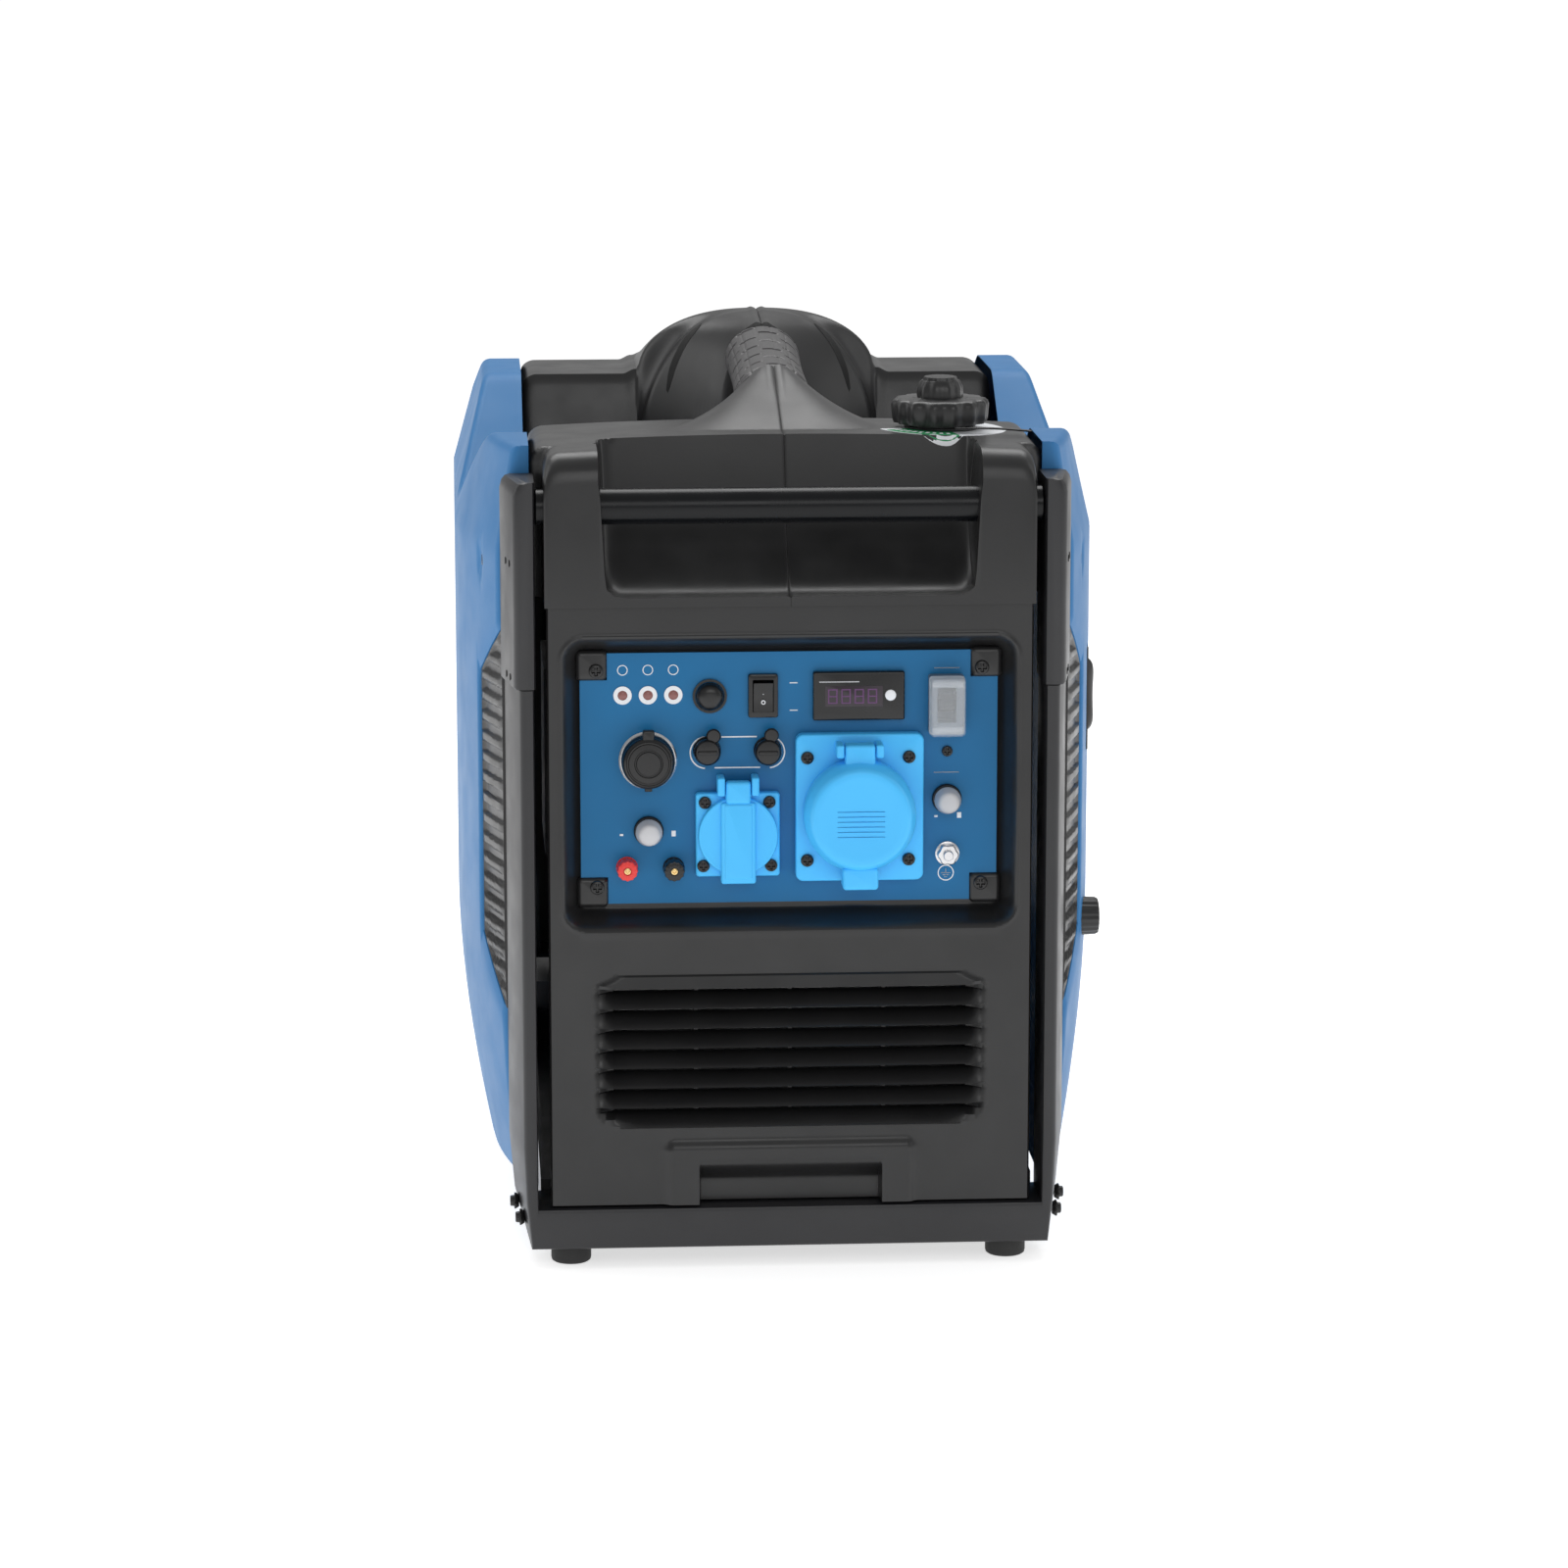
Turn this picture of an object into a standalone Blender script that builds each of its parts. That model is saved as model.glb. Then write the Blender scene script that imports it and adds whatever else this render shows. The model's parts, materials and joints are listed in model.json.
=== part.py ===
"""Portable inverter generator in a closed plastic case: the working model.

Metres, +Z up, front panel facing -Y, +X to the right of a person facing the panel.
The origin is on the floor, under the middle of the machine.
Depths named d run from the front face of the covers (d = 0) to the rear.
"""
import bpy
import bmesh
from math import cos, pi, radians, sin, sqrt
from mathutils import Matrix, Vector

# ---- overall sizes -----------------------------------------------------------
BODY_LENGTH = 0.575          # front face of the covers to the rear face
LID_STAND = 0.014            # large socket lid stands this far in front of the covers
HALF_WIDTH = 0.195           # widest point of the blue side covers
HANDLE_TOP = 0.537           # highest point of the carry handle
CREST_Z = 0.487              # top of the front section at the sides
RIDGE_Z = 0.495              # top of the rear ridge
DECK_Z = 0.447               # floor of the trough under the grip
GROUND_GAP = 0.012           # underside of the front frame above the floor

# ---- walls and clearances ----------------------------------------------------
GAP = 0.0003                 # assembly clearance between fixed pieces
PLAY = 0.0004                # running clearance of a moving piece
WALL = 0.003                 # wall of the moulded covers

# ---- front frame and covers --------------------------------------------------
COVER_HALF = 0.1425          # half width of the front and rear covers
COVER_DEPTH = 0.040          # how far the covers' walls turn back
COVER_BOTTOM = 0.0385
PART_LINE = 0.398            # joint between front cover and top cover
POST_INNER = 0.150           # inner face of the frame's posts
POST_FRONT = 0.158           # outer edge of a post's front face
POST_BACK = 0.1666           # outer edge of a post at its rear face
POST_DEPTH = 0.044
SILL_TOP = 0.037
SLEEVE_BOTTOM = 0.350
SLEEVE_TOP = 0.472
TOP_HALF = 0.151             # half width of the top cover behind the cheeks
CHEEK_HALF = 0.1435          # half width of the cheeks beside the scoop
SCOOP_HALF = 0.110
SCOOP_DEPTH = 0.066
SCOOP_FLOOR = 0.404
BAR_RADIUS = 0.0105
BAR_DEPTH = 0.0165
BAR_Z = 0.4555

# ---- handle ------------------------------------------------------------------
GRIP_FRONT = 0.168           # depth where the rubber grip starts
GRIP_BACK = 0.286
GRIP_HALF_WIDTH = 0.0235
GRIP_HALF_HEIGHT = 0.0205
GRIP_Z_FRONT = 0.4990
GRIP_Z_BACK = 0.5120

# ---- control panel -----------------------------------------------------------
PANEL_HALF = 0.123
PANEL_LOW = 0.2186
PANEL_HIGH = 0.3686
PANEL_DEPTH = 0.018          # front face of the panel behind the covers' face
PANEL_THICK = 0.002
PANEL_NOTCH = 0.016
RECESS_HALF = 0.134
RECESS_LOW = 0.205
RECESS_HIGH = 0.380

# ---- running gear and inside -------------------------------------------------
WHEEL_RADIUS = 0.050
WHEEL_WIDTH = 0.028
WHEEL_INNER = 0.1525
AXLE_RADIUS = 0.006
AXLE_DEPTH = 0.512
SHAFT_D = 0.300              # crankshaft line, running left to right
SHAFT_Z = 0.185
CAP_X = 0.096
CAP_DEPTH = 0.103
CAP_RADIUS = 0.029
NECK_RADIUS = 0.0215

FRONT_Y = LID_STAND - (BODY_LENGTH + LID_STAND) / 2


def at(d):
    """World Y of a depth d behind the front face."""
    return FRONT_Y + d


# ---- materials ---------------------------------------------------------------
def material(name, colour, roughness, metallic=0.0, alpha=1.0):
    made = bpy.data.materials.new(name)
    made.use_nodes = True
    shader = made.node_tree.nodes["Principled BSDF"]
    shader.inputs["Base Color"].default_value = (*colour, 1.0)
    shader.inputs["Roughness"].default_value = roughness
    shader.inputs["Metallic"].default_value = metallic
    shader.inputs["Alpha"].default_value = alpha
    return made


# ---- shape helpers -----------------------------------------------------------
def clear_scene():
    for item in list(bpy.data.objects):
        bpy.data.objects.remove(item, do_unlink=True)


def mesh_object(name, points, faces, look):
    mesh = bpy.data.meshes.new(name)
    mesh.from_pydata([tuple(p) for p in points], [], faces)
    work = bmesh.new()
    work.from_mesh(mesh)
    bmesh.ops.remove_doubles(work, verts=work.verts, dist=0.00001)
    bmesh.ops.recalc_face_normals(work, faces=work.faces)
    work.to_mesh(mesh)
    work.free()
    made = bpy.data.objects.new(name, mesh)
    bpy.context.collection.objects.link(made)
    if look is not None:
        mesh.materials.append(look)
    return made


def box(name, xs, ds, zs, look=None):
    points = [(x, at(d), z) for x in xs for d in ds for z in zs]
    faces = [(0, 1, 3, 2), (4, 6, 7, 5), (0, 4, 5, 1), (2, 3, 7, 6), (0, 2, 6, 4), (1, 5, 7, 3)]
    return mesh_object(name, points, faces, look)


def loft(name, rings, look=None, closed=False):
    """Solid through rings of equal length; its ends are capped unless it closes on itself."""
    count = len(rings[0])
    points = [p for ring in rings for p in ring]
    faces = []
    last = len(rings) if closed else len(rings) - 1
    for r in range(last):
        nxt = (r + 1) % len(rings)
        for k in range(count):
            a = r * count + k
            b = r * count + (k + 1) % count
            faces.append((a, b, nxt * count + (k + 1) % count, nxt * count + k))
    if not closed:
        faces.append(tuple(range(count)))
        faces.append(tuple(range((len(rings) - 1) * count, len(rings) * count)))
    return mesh_object(name, points, faces, look)


def turned(name, profile, centre, axis, look=None, segments=24, lobes=0, lobe=0.0):
    """Turned solid: profile holds (radius, distance along axis); ends at radius 0 are poles."""
    frame = Vector(axis).to_track_quat("Z", "Y").to_matrix()
    origin = Vector((centre[0], at(centre[1]), centre[2]))
    rings = []
    for radius, along in profile:
        ring = []
        for k in range(segments):
            angle = 2 * pi * k / segments
            r = max(radius, 0.0) * (1 + lobe * cos(lobes * angle))
            ring.append(origin + frame @ Vector((r * cos(angle), r * sin(angle), along)))
        rings.append(ring)
    return loft(name, rings, look)


def ring_solid(name, profile, centre, axis, look=None, segments=24):
    """Turned ring: a closed profile that doesn't touch the axis."""
    frame = Vector(axis).to_track_quat("Z", "Y").to_matrix()
    origin = Vector((centre[0], at(centre[1]), centre[2]))
    rings = []
    for k in range(segments):
        angle = 2 * pi * k / segments
        turn = Vector((cos(angle), sin(angle), 0))
        rings.append([origin + frame @ (turn * r + Vector((0, 0, t))) for r, t in profile])
    return loft(name, rings, look, closed=True)


def prism(name, outline, plane, span, look=None):
    """Outline in plane "xz", "dz" or "xd", carried over span on the third axis."""
    rings = []
    for s in span:
        if plane == "xz":
            rings.append([(a, at(s), b) for a, b in outline])
        elif plane == "dz":
            rings.append([(s, at(a), b) for a, b in outline])
        else:
            rings.append([(a, at(b), s) for a, b in outline])
    return loft(name, rings, look)


def rounded_outline(x0, x1, z0, z1, radius, steps=4):
    points = []
    corners = ((x1, z1, 0), (x0, z1, 90), (x0, z0, 180), (x1, z0, 270))
    for cx, cz, start in corners:
        ox = cx - radius if cx == x1 else cx + radius
        oz = cz - radius if cz == z1 else cz + radius
        for k in range(steps + 1):
            angle = radians(start + 90 * k / steps)
            points.append((ox + radius * cos(angle), oz + radius * sin(angle)))
    return points


def combine(target, other, operation):
    change = target.modifiers.new(operation.title(), "BOOLEAN")
    change.operation = operation
    change.solver = "EXACT"
    change.object = other
    other.hide_render = True
    other.display_type = "WIRE"
    return target


def cut(target, *cutters):
    for cutter in cutters:
        combine(target, cutter, "DIFFERENCE")
    return target


def fuse(target, *others):
    for other in others:
        combine(target, other, "UNION")
    return target


def pivot(name, point, *children):
    """Empty on a joint's axis that carries the pieces turning about it."""
    holder = bpy.data.objects.new(name, None)
    bpy.context.collection.objects.link(holder)
    holder.location = (point[0], at(point[1]), point[2])
    holder.empty_display_size = 0.02
    for child in children:
        child.parent = holder
        child.matrix_parent_inverse = Matrix.Translation(-holder.location)
    return holder


def smooth(a, b, value):
    t = min(1.0, max(0.0, (value - a) / (b - a)))
    return t * t * (3 - 2 * t)


# ---- top cover surface -------------------------------------------------------
def crest(x):
    """Front section, crowned a little across the width."""
    return CREST_Z + 0.004 * (1 - (x / TOP_HALF) ** 2)


def top_half(d):
    """Half width of the top cover: cheeks in front, full width behind the sleeves."""
    return CHEEK_HALF + (TOP_HALF - CHEEK_HALF) * smooth(0.043, 0.048, d)


def grip_centre_z(d):
    return GRIP_Z_FRONT + (GRIP_Z_BACK - GRIP_Z_FRONT) * (d - GRIP_FRONT) / (GRIP_BACK - GRIP_FRONT)


def trough(x, d):
    """Front section, trough and rear ridge, without the scoop and the handle's flares."""
    ridge = RIDGE_Z + 0.003 * smooth(0.100, 0.080, abs(x)) if abs(x) < 0.1 else RIDGE_Z
    z = crest(x) + (DECK_Z - crest(x)) * smooth(0.142, 0.205, d)
    z += (ridge - DECK_Z) * smooth(0.334, 0.352, d)
    z -= (ridge - 0.442) * smooth(0.425, BODY_LENGTH + 0.020, d)
    edge = 0.018
    into = min(max(d, 0.0), max(BODY_LENGTH - d, 0.0))
    if into < edge:
        z -= edge - sqrt(edge ** 2 - (edge - into) ** 2)
    return z


def scoop(x, d):
    """Hand recess: a floor behind the lip that curves up to the crest."""
    rise = max(0.0, (d - 0.012) / (SCOOP_DEPTH - 0.012)) ** 1.6
    z = SCOOP_FLOOR + (crest(x) - SCOOP_FLOOR) * min(1.0, rise)
    radius = 0.012
    over = abs(x) - (SCOOP_HALF - radius)
    if over > 0:
        z += radius - sqrt(max(0.0, radius ** 2 - min(over, radius) ** 2))
    return z


def front_flare(x, d):
    """Horn that rises from the crest and narrows to the grip."""
    t = min(1.0, max(0.0, (d - 0.084) / (GRIP_FRONT - 0.084)))
    half = 0.062 - 0.036 * t ** 0.7
    top = crest(0) + (grip_centre_z(GRIP_FRONT) + GRIP_HALF_HEIGHT + 0.001 - crest(0)) * t
    base = min(trough(x, d), CREST_Z - 0.004)
    return base + (top - base) * 2.718281828 ** (-(abs(x) / half) ** 3)


def rear_flare(x, d):
    """Dome at the rear end of the grip that widens into the ridge."""
    t = min(1.0, max(0.0, (d - GRIP_BACK) / 0.044))
    half = 0.026 + 0.050 * t ** 1.2
    base = trough(x, d)
    top = HANDLE_TOP - 0.004 * (1 - t)
    top += (base - top) * smooth(0.345, 0.460, d)
    inside = 1 - min(1.0, abs(x) / half) ** 2.4
    return base + max(0.0, top - base) * max(0.0, inside) ** 0.55


def top_surface(x, d):
    if abs(x) < SCOOP_HALF and d < SCOOP_DEPTH:
        return min(scoop(x, d), crest(x))
    z = trough(x, d)
    if 0.084 < d < GRIP_FRONT:
        z = max(z, front_flare(x, d))
    if d > GRIP_BACK:
        z = max(z, rear_flare(x, d))
    return z


def edged_surface(x, d):
    """Top surface with its long edges eased down."""
    ease = 0.012
    over = max(0.0, x - (top_half(d) - ease)) / ease
    return top_surface(x, d) - 0.006 * min(1.2, over)


def skirted_shell(name, outer, inner, rim, sides, look):
    """Moulded shell: an outer and an inner grid, walls from their edges down to the rim.

    rim(point) moves an edge point to the rim. sides lists the edges that have
    a wall, out of "first" (row 0), "last" (last row), "start" and "end" (columns).
    """
    rows = len(outer)
    cols = len(outer[0])
    points = []
    faces = []

    def add_grid(grid):
        base = len(points)
        for row in grid:
            points.extend(row)
        for r in range(rows - 1):
            for c in range(cols - 1):
                a = base + r * cols + c
                faces.append((a, a + 1, a + cols + 1))
                faces.append((a, a + cols + 1, a + cols))
        return base

    first = add_grid(outer)
    second = add_grid(inner)
    loop = [(0, c) for c in range(cols - 1)] + [(r, cols - 1) for r in range(rows - 1)]
    loop += [(rows - 1, c) for c in range(cols - 1, 0, -1)] + [(r, 0) for r in range(rows - 1, 0, -1)]

    def walled(r, c):
        return (("first" in sides and r == 0) or ("last" in sides and r == rows - 1)
                or ("start" in sides and c == 0) or ("end" in sides and c == cols - 1))

    def edge_walled(p, q):
        same = {"first": p[0] == q[0] == 0, "last": p[0] == q[0] == rows - 1,
                "start": p[1] == q[1] == 0, "end": p[1] == q[1] == cols - 1}
        return any(same[s] for s in sides)

    low = {}
    for r, c in loop:
        for is_inner, base, grid in ((False, first, outer), (True, second, inner)):
            here = base + r * cols + c
            if walled(r, c):
                points.append(rim(grid[r][c]))
                low[r, c, is_inner] = (here, len(points) - 1)
            else:
                low[r, c, is_inner] = (here, here)
    for k, p in enumerate(loop):
        q = loop[(k + 1) % len(loop)]
        if edge_walled(p, q):
            for is_inner in (False, True):
                a, b = low[(*p, is_inner)], low[(*q, is_inner)]
                faces.append((a[0], b[0], b[1], a[1]))
            a, b, c, e = (low[(*p, False)][1], low[(*q, False)][1], low[(*q, True)][1],
                          low[(*p, True)][1])
            faces.append((a, b, c, e))
        else:
            strip = [low[(*p, False)], low[(*q, False)], low[(*q, True)], low[(*p, True)]]
            faces.append(tuple(s[0] for s in strip))
    for r, c in loop:
        o, i = low[r, c, False], low[r, c, True]
        if o[0] == o[1]:
            continue
        k = loop.index((r, c))
        before = edge_walled(loop[k - 1], (r, c))
        after = edge_walled((r, c), loop[(k + 1) % len(loop)])
        if before != after:
            faces.append((o[0], o[1], i[1], i[0]))
    return mesh_object(name, points, faces, look)


def top_cover(name, side, look):
    """Half of the top moulding, split along the machine's middle."""
    shares = (0.0, 0.09, 0.18, 0.28, 0.38, 0.48, 0.57, 0.65)
    depths = [0.0, 0.006, 0.018, 0.034, 0.050, SCOOP_DEPTH - 0.0005, SCOOP_DEPTH + 0.0015, 0.085,
              0.110, 0.140, GRIP_FRONT - 0.0005, GRIP_FRONT + 0.001, 0.205, 0.245,
              GRIP_BACK - 0.0005, GRIP_BACK + 0.001, 0.305, 0.330, 0.352, 0.385, 0.425, 0.465,
              0.510, BODY_LENGTH - 0.012, BODY_LENGTH]
    outer = []
    inner = []
    reach = WALL * 1.2
    for d in depths:
        half = top_half(d)
        xs = [GAP / 2 + s * half for s in shares]
        xs += [SCOOP_HALF - 0.006, SCOOP_HALF - 0.0005, SCOOP_HALF + 0.0015, half - 0.012, half]
        outer.append([(side * x, at(d), edged_surface(x, d)) for x in xs])
        row = []
        dd = min(max(d, WALL), BODY_LENGTH - WALL)
        for x in xs:
            xx = min(x, top_half(dd) - WALL)
            near = [edged_surface(max(xx + a, 0), dd + b) for a in (-reach, 0, reach)
                    for b in (-reach, 0, reach)]
            row.append((side * xx, at(dd), min(near) - WALL))
        inner.append(row)

    def to_rim(point):
        return (point[0], point[1], PART_LINE + GAP)

    return skirted_shell(name, outer, inner, to_rim, ("first", "last", "end"), look)


# ---- side cover surface ------------------------------------------------------
SIDE_FRONT = 0.046
SIDE_REAR = 0.562
SIDE_RIM = TOP_HALF + GAP
SIDE_TOP = ((SIDE_FRONT, 0.488), (0.115, 0.488), (0.215, 0.437), (0.250, 0.437),
            (0.338, 0.497), (0.430, 0.497), (0.500, 0.468), (SIDE_REAR, 0.440))


def side_top(d):
    """Upper edge of a side cover: front hump, V notch, rear hump, slope to the rear."""
    for (d0, z0), (d1, z1) in zip(SIDE_TOP, SIDE_TOP[1:]):
        if d <= d1:
            return z0 + (z1 - z0) * (d - d0) / (d1 - d0)
    return SIDE_TOP[-1][1]


def side_bottom(d):
    """Lower edge, lifted over the wheel."""
    return 0.046 + 0.072 * smooth(0.425, 0.455, d)


def side_out(d, z):
    """Half width of a side cover at a depth and height."""
    t = min(1.0, (d - SIDE_FRONT) / 0.160)
    x = HALF_WIDTH - 0.025 * (1 - t) ** 2.2
    x -= 0.020 * max(0.0, (d - 0.47) / 0.092) ** 2
    if z < 0.200:
        x -= (0.009 + 0.014 * t) * ((0.200 - z) / 0.155) ** 2
    if z > 0.425:
        x -= (0.010 + 0.008 * t) * (z - 0.425) / 0.065
    return x


def side_cover(name, side, look):
    depths = (SIDE_FRONT, 0.062, 0.085, 0.115, 0.150, 0.182, 0.215, 0.250, 0.294, 0.338, 0.385,
              0.425, 0.435, 0.445, 0.455, 0.500, 0.535, SIDE_REAR)
    shares = (0.0, 0.06, 0.14, 0.25, 0.4, 0.6, 0.78, 0.87, 0.94, 1.0)
    outer = []
    inner = []
    for d in depths:
        low, high = side_bottom(d), side_top(d)
        outer.append([(side * side_out(d, low + s * (high - low)), at(d), low + s * (high - low))
                      for s in shares])
        dd = min(max(d, SIDE_FRONT + WALL), SIDE_REAR - WALL)
        low, high = side_bottom(dd + WALL) + WALL, side_top(dd) - WALL
        low = max(low, side_bottom(dd) + WALL)
        high = min(high, side_top(dd - WALL) - WALL * 1.3, side_top(dd + WALL) - WALL * 1.3)
        inner.append([(side * (side_out(dd, low + s * (high - low)) - WALL * 1.1), at(dd),
                       low + s * (high - low)) for s in shares])

    def to_rim(point):
        return (side * SIDE_RIM, point[1], point[2])

    return skirted_shell(name, outer, inner, to_rim, ("first", "last", "start", "end"), look)


VENT_BACK = 0.088
VENT_OUTLINE = ((SIDE_FRONT - 0.001, 0.148), (VENT_BACK, 0.188), (VENT_BACK, 0.348),
                (SIDE_FRONT - 0.001, 0.380))


def side_vent(name, side, look):
    """Dark grille panel let into the front of a side cover."""
    inset = 0.0006
    front = SIDE_FRONT + inset
    back = VENT_BACK - inset
    rings = []
    for k in range(6):
        s = k / 5
        ring = []
        for d in (front, (front + back) / 2, back):
            t = (d - SIDE_FRONT) / (VENT_BACK - SIDE_FRONT)
            low = 0.148 + 0.040 * t + 2 * inset
            high = 0.380 - 0.032 * t - 2 * inset
            z = low + s * (high - low)
            ring.append((d, z))
        outline = [(side * (side_out(d, z) - 0.0015), at(d), z) for d, z in ring]
        outline += [(side * (side_out(d, z) - 0.0045), at(d), z) for d, z in reversed(ring)]
        rings.append(outline)
    return loft(name, rings, look)


# ---- frame and covers --------------------------------------------------------
def front_frame(look):
    """U-shaped steel frame: two posts and a sill, mitred at the lower corners."""
    def station(side, z_in, z_out, front, back):
        inner = side * POST_INNER
        return [(inner, at(0), z_in), (inner, at(POST_DEPTH), z_in),
                (side * back, at(POST_DEPTH), z_out), (side * front, at(0), z_out)]

    top = SLEEVE_BOTTOM - GAP
    shoulder = 0.070
    rings = [station(-1, top, top, POST_FRONT, POST_BACK),
             station(-1, shoulder, shoulder, POST_FRONT, POST_BACK),
             station(-1, SILL_TOP, GROUND_GAP, POST_FRONT - 0.004, POST_BACK - 0.010),
             station(1, SILL_TOP, GROUND_GAP, POST_FRONT - 0.004, POST_BACK - 0.010),
             station(1, shoulder, shoulder, POST_FRONT, POST_BACK),
             station(1, top, top, POST_FRONT, POST_BACK)]
    return loft("front_frame", rings, look)


def post_sleeve(name, side, look):
    """Moulded sleeve over the top of a post; it holds one end of the pull bar."""
    out = POST_FRONT + 0.003
    back = POST_BACK + 0.002
    chamfer = 0.005
    rings = []
    for z, shrink in ((SLEEVE_BOTTOM, 0.0), (SLEEVE_TOP - chamfer, 0.0), (SLEEVE_TOP, chamfer)):
        rings.append([(side * (POST_INNER - 0.001), at(0), z),
                      (side * (POST_INNER - 0.001), at(POST_DEPTH), z),
                      (side * (back - shrink), at(POST_DEPTH), z),
                      (side * (out - shrink), at(0), z)])
    return loft(name, rings, look)


def cover_shell(name, low, front, back, look):
    """Open-backed moulded cover; front is its face, back its open edge."""
    step = WALL if back > front else -WALL
    block = box(name, (-COVER_HALF, COVER_HALF), (front, back), (low, PART_LINE), look)
    hollow = box(name + "_hollow", (WALL - COVER_HALF, COVER_HALF - WALL), (front + step, back + step),
                 (low + WALL, PART_LINE - WALL))
    return cut(block, hollow)


def louvre_slots(name, front, back, low, rows):
    """Slots between the slats, in four columns, joined as one cutter."""
    pitch = 0.0121
    cutters = []
    for row in range(rows):
        z = low + pitch * row
        for left, right in ((-0.112, -0.058), (-0.053, -0.002), (0.002, 0.052), (0.057, 0.112)):
            cutters.append(box(name, (left, right), (front, back), (z, z + 0.0045)))
    return cutters


def merged(name, pieces):
    """One mesh out of several separate cutters."""
    work = bmesh.new()
    for piece in pieces:
        work.from_mesh(piece.data)
        bpy.data.objects.remove(piece, do_unlink=True)
    mesh = bpy.data.meshes.new(name)
    work.to_mesh(mesh)
    work.free()
    made = bpy.data.objects.new(name, mesh)
    bpy.context.collection.objects.link(made)
    return made


def front_cover(look):
    cover = cover_shell("front_cover", COVER_BOTTOM, 0.0, COVER_DEPTH, look)
    pan = box("front_cover_pan", (-RECESS_HALF - 0.004, RECESS_HALF + 0.004), (0.001, 0.0245),
              (RECESS_LOW - 0.004, RECESS_HIGH + 0.004))
    mouth = rounded_outline(-RECESS_HALF, RECESS_HALF, RECESS_LOW, RECESS_HIGH, 0.013)
    floor = rounded_outline(-PANEL_HALF - PLAY, PANEL_HALF + PLAY, PANEL_LOW - PLAY,
                            PANEL_HIGH + PLAY, 0.002)
    seat = PANEL_DEPTH + PANEL_THICK + GAP
    recess = loft("front_cover_recess", [[(a, at(-0.001), b) for a, b in mouth],
                                         [(a, at(PANEL_DEPTH - 0.001), b) for a, b in floor],
                                         [(a, at(seat), b) for a, b in floor]])
    window = box("front_cover_window", (-0.116, 0.116), (0.015, 0.030),
                 (PANEL_LOW + 0.0045, PANEL_HIGH - 0.0045))
    slots = merged("front_cover_slots", louvre_slots("slot", -0.002, 0.006, 0.090, 7))
    notch = box("front_cover_notch", (-0.054, 0.054), (-0.002, 0.012), (0.030, 0.058))
    fuse(cover, pan)
    return cut(cover, recess, window, slots, notch)


def rear_cover(look):
    cover = cover_shell("rear_cover", 0.068, BODY_LENGTH, BODY_LENGTH - COVER_DEPTH, look)
    slots = merged("rear_cover_slots",
                   louvre_slots("rslot", BODY_LENGTH - 0.006, BODY_LENGTH + 0.002, 0.120, 12))
    outlet = turned("rear_cover_outlet", [(0.024, -0.02), (0.024, 0.02)],
                    (0.080, BODY_LENGTH, 0.330), (0, 1, 0))
    return cut(cover, slots, outlet)


def base_tray(look):
    """Pressed tray under the engine, with the box beam at its rear that carries the axle."""
    tray = box("base_tray", (-0.148, 0.148), (POST_DEPTH + GAP, 0.482), (0.016, 0.044), look)
    hollow = box("base_tray_hollow", (-0.145, 0.145), (POST_DEPTH + WALL, 0.479), (0.019, 0.060))
    beam = box("rear_beam", (-0.146, 0.146), (0.480, 0.560), (0.030, 0.064))
    bore = turned("rear_beam_bore", [(AXLE_RADIUS + PLAY, -0.2), (AXLE_RADIUS + PLAY, 0.2)],
                  (0, AXLE_DEPTH, WHEEL_RADIUS), (1, 0, 0), segments=16)
    cut(tray, hollow)
    fuse(tray, beam)
    return cut(tray, bore)


def wheel(name, side, look):
    inner = side * WHEEL_INNER
    outer = side * (WHEEL_INNER + WHEEL_WIDTH)
    low, high = sorted((inner, outer))
    bore = AXLE_RADIUS + PLAY
    rim = WHEEL_RADIUS - 0.006
    profile = [(bore, low), (0.016, low), (0.018, low + 0.006), (0.034, low + 0.006), (rim, low),
               (WHEEL_RADIUS, low + 0.006), (WHEEL_RADIUS, high - 0.006), (rim, high),
               (0.034, high - 0.006), (0.018, high - 0.006), (0.016, high), (bore, high)]
    made = ring_solid(name, profile, (0, AXLE_DEPTH, WHEEL_RADIUS), (1, 0, 0), look, 32)
    pivot(name + "_pivot", (0, AXLE_DEPTH, WHEEL_RADIUS), made)
    return made


def foot(name, x, look):
    return turned(name, [(0.0105, 0.0), (0.012, 0.003), (0.012, GROUND_GAP - GAP)],
                  (x, 0.022, 0.0), (0, 0, 1), look, 20)


# ---- carry handle and pull bar -----------------------------------------------
def carry_grip(look):
    """Rubber-covered bar between the two flares, slightly waisted."""
    rings = []
    steps = 6
    for k in range(steps + 1):
        s = k / steps
        d = GRIP_FRONT + 0.0013 + s * (GRIP_BACK - GRIP_FRONT - 0.0021)
        waist = 1 - 0.05 * sin(pi * s)
        across, up = GRIP_HALF_WIDTH * waist, GRIP_HALF_HEIGHT * waist
        rings.append([(across * cos(2 * pi * j / 24), at(d),
                       grip_centre_z(d) + up * sin(2 * pi * j / 24)) for j in range(24)])
    return loft("carry_grip", rings, look)


# ---- panel parts -------------------------------------------------------------
FACE = PANEL_DEPTH - GAP     # back of what sits on the panel
SMALL_X, SMALL_Z = -0.0306, 0.2604
LARGE_X, LARGE_Z = 0.0404, 0.2737
METER_X, METER_Z = 0.0409, 0.3423
ECO_X, ECO_Z = -0.0154, 0.3427
RESET_X, RESET_Z = -0.0467, 0.3427
DC_BREAKER = (-0.0830, 0.2625)
AC_BREAKER = (0.0933, 0.2797)
ATS_X, ATS_Z = -0.0832, 0.3047
JACKS = (("left", -0.0485, 0.3104, -0.0449), ("right", -0.0128, 0.3100, -0.0108))
MAIN_X, MAIN_Z = 0.0924, 0.3369
POSTS = (("positive", -0.0959, 0.2405), ("negative", -0.0683, 0.2400))
GROUND_X, GROUND_Z = 0.0938, 0.2466


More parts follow.
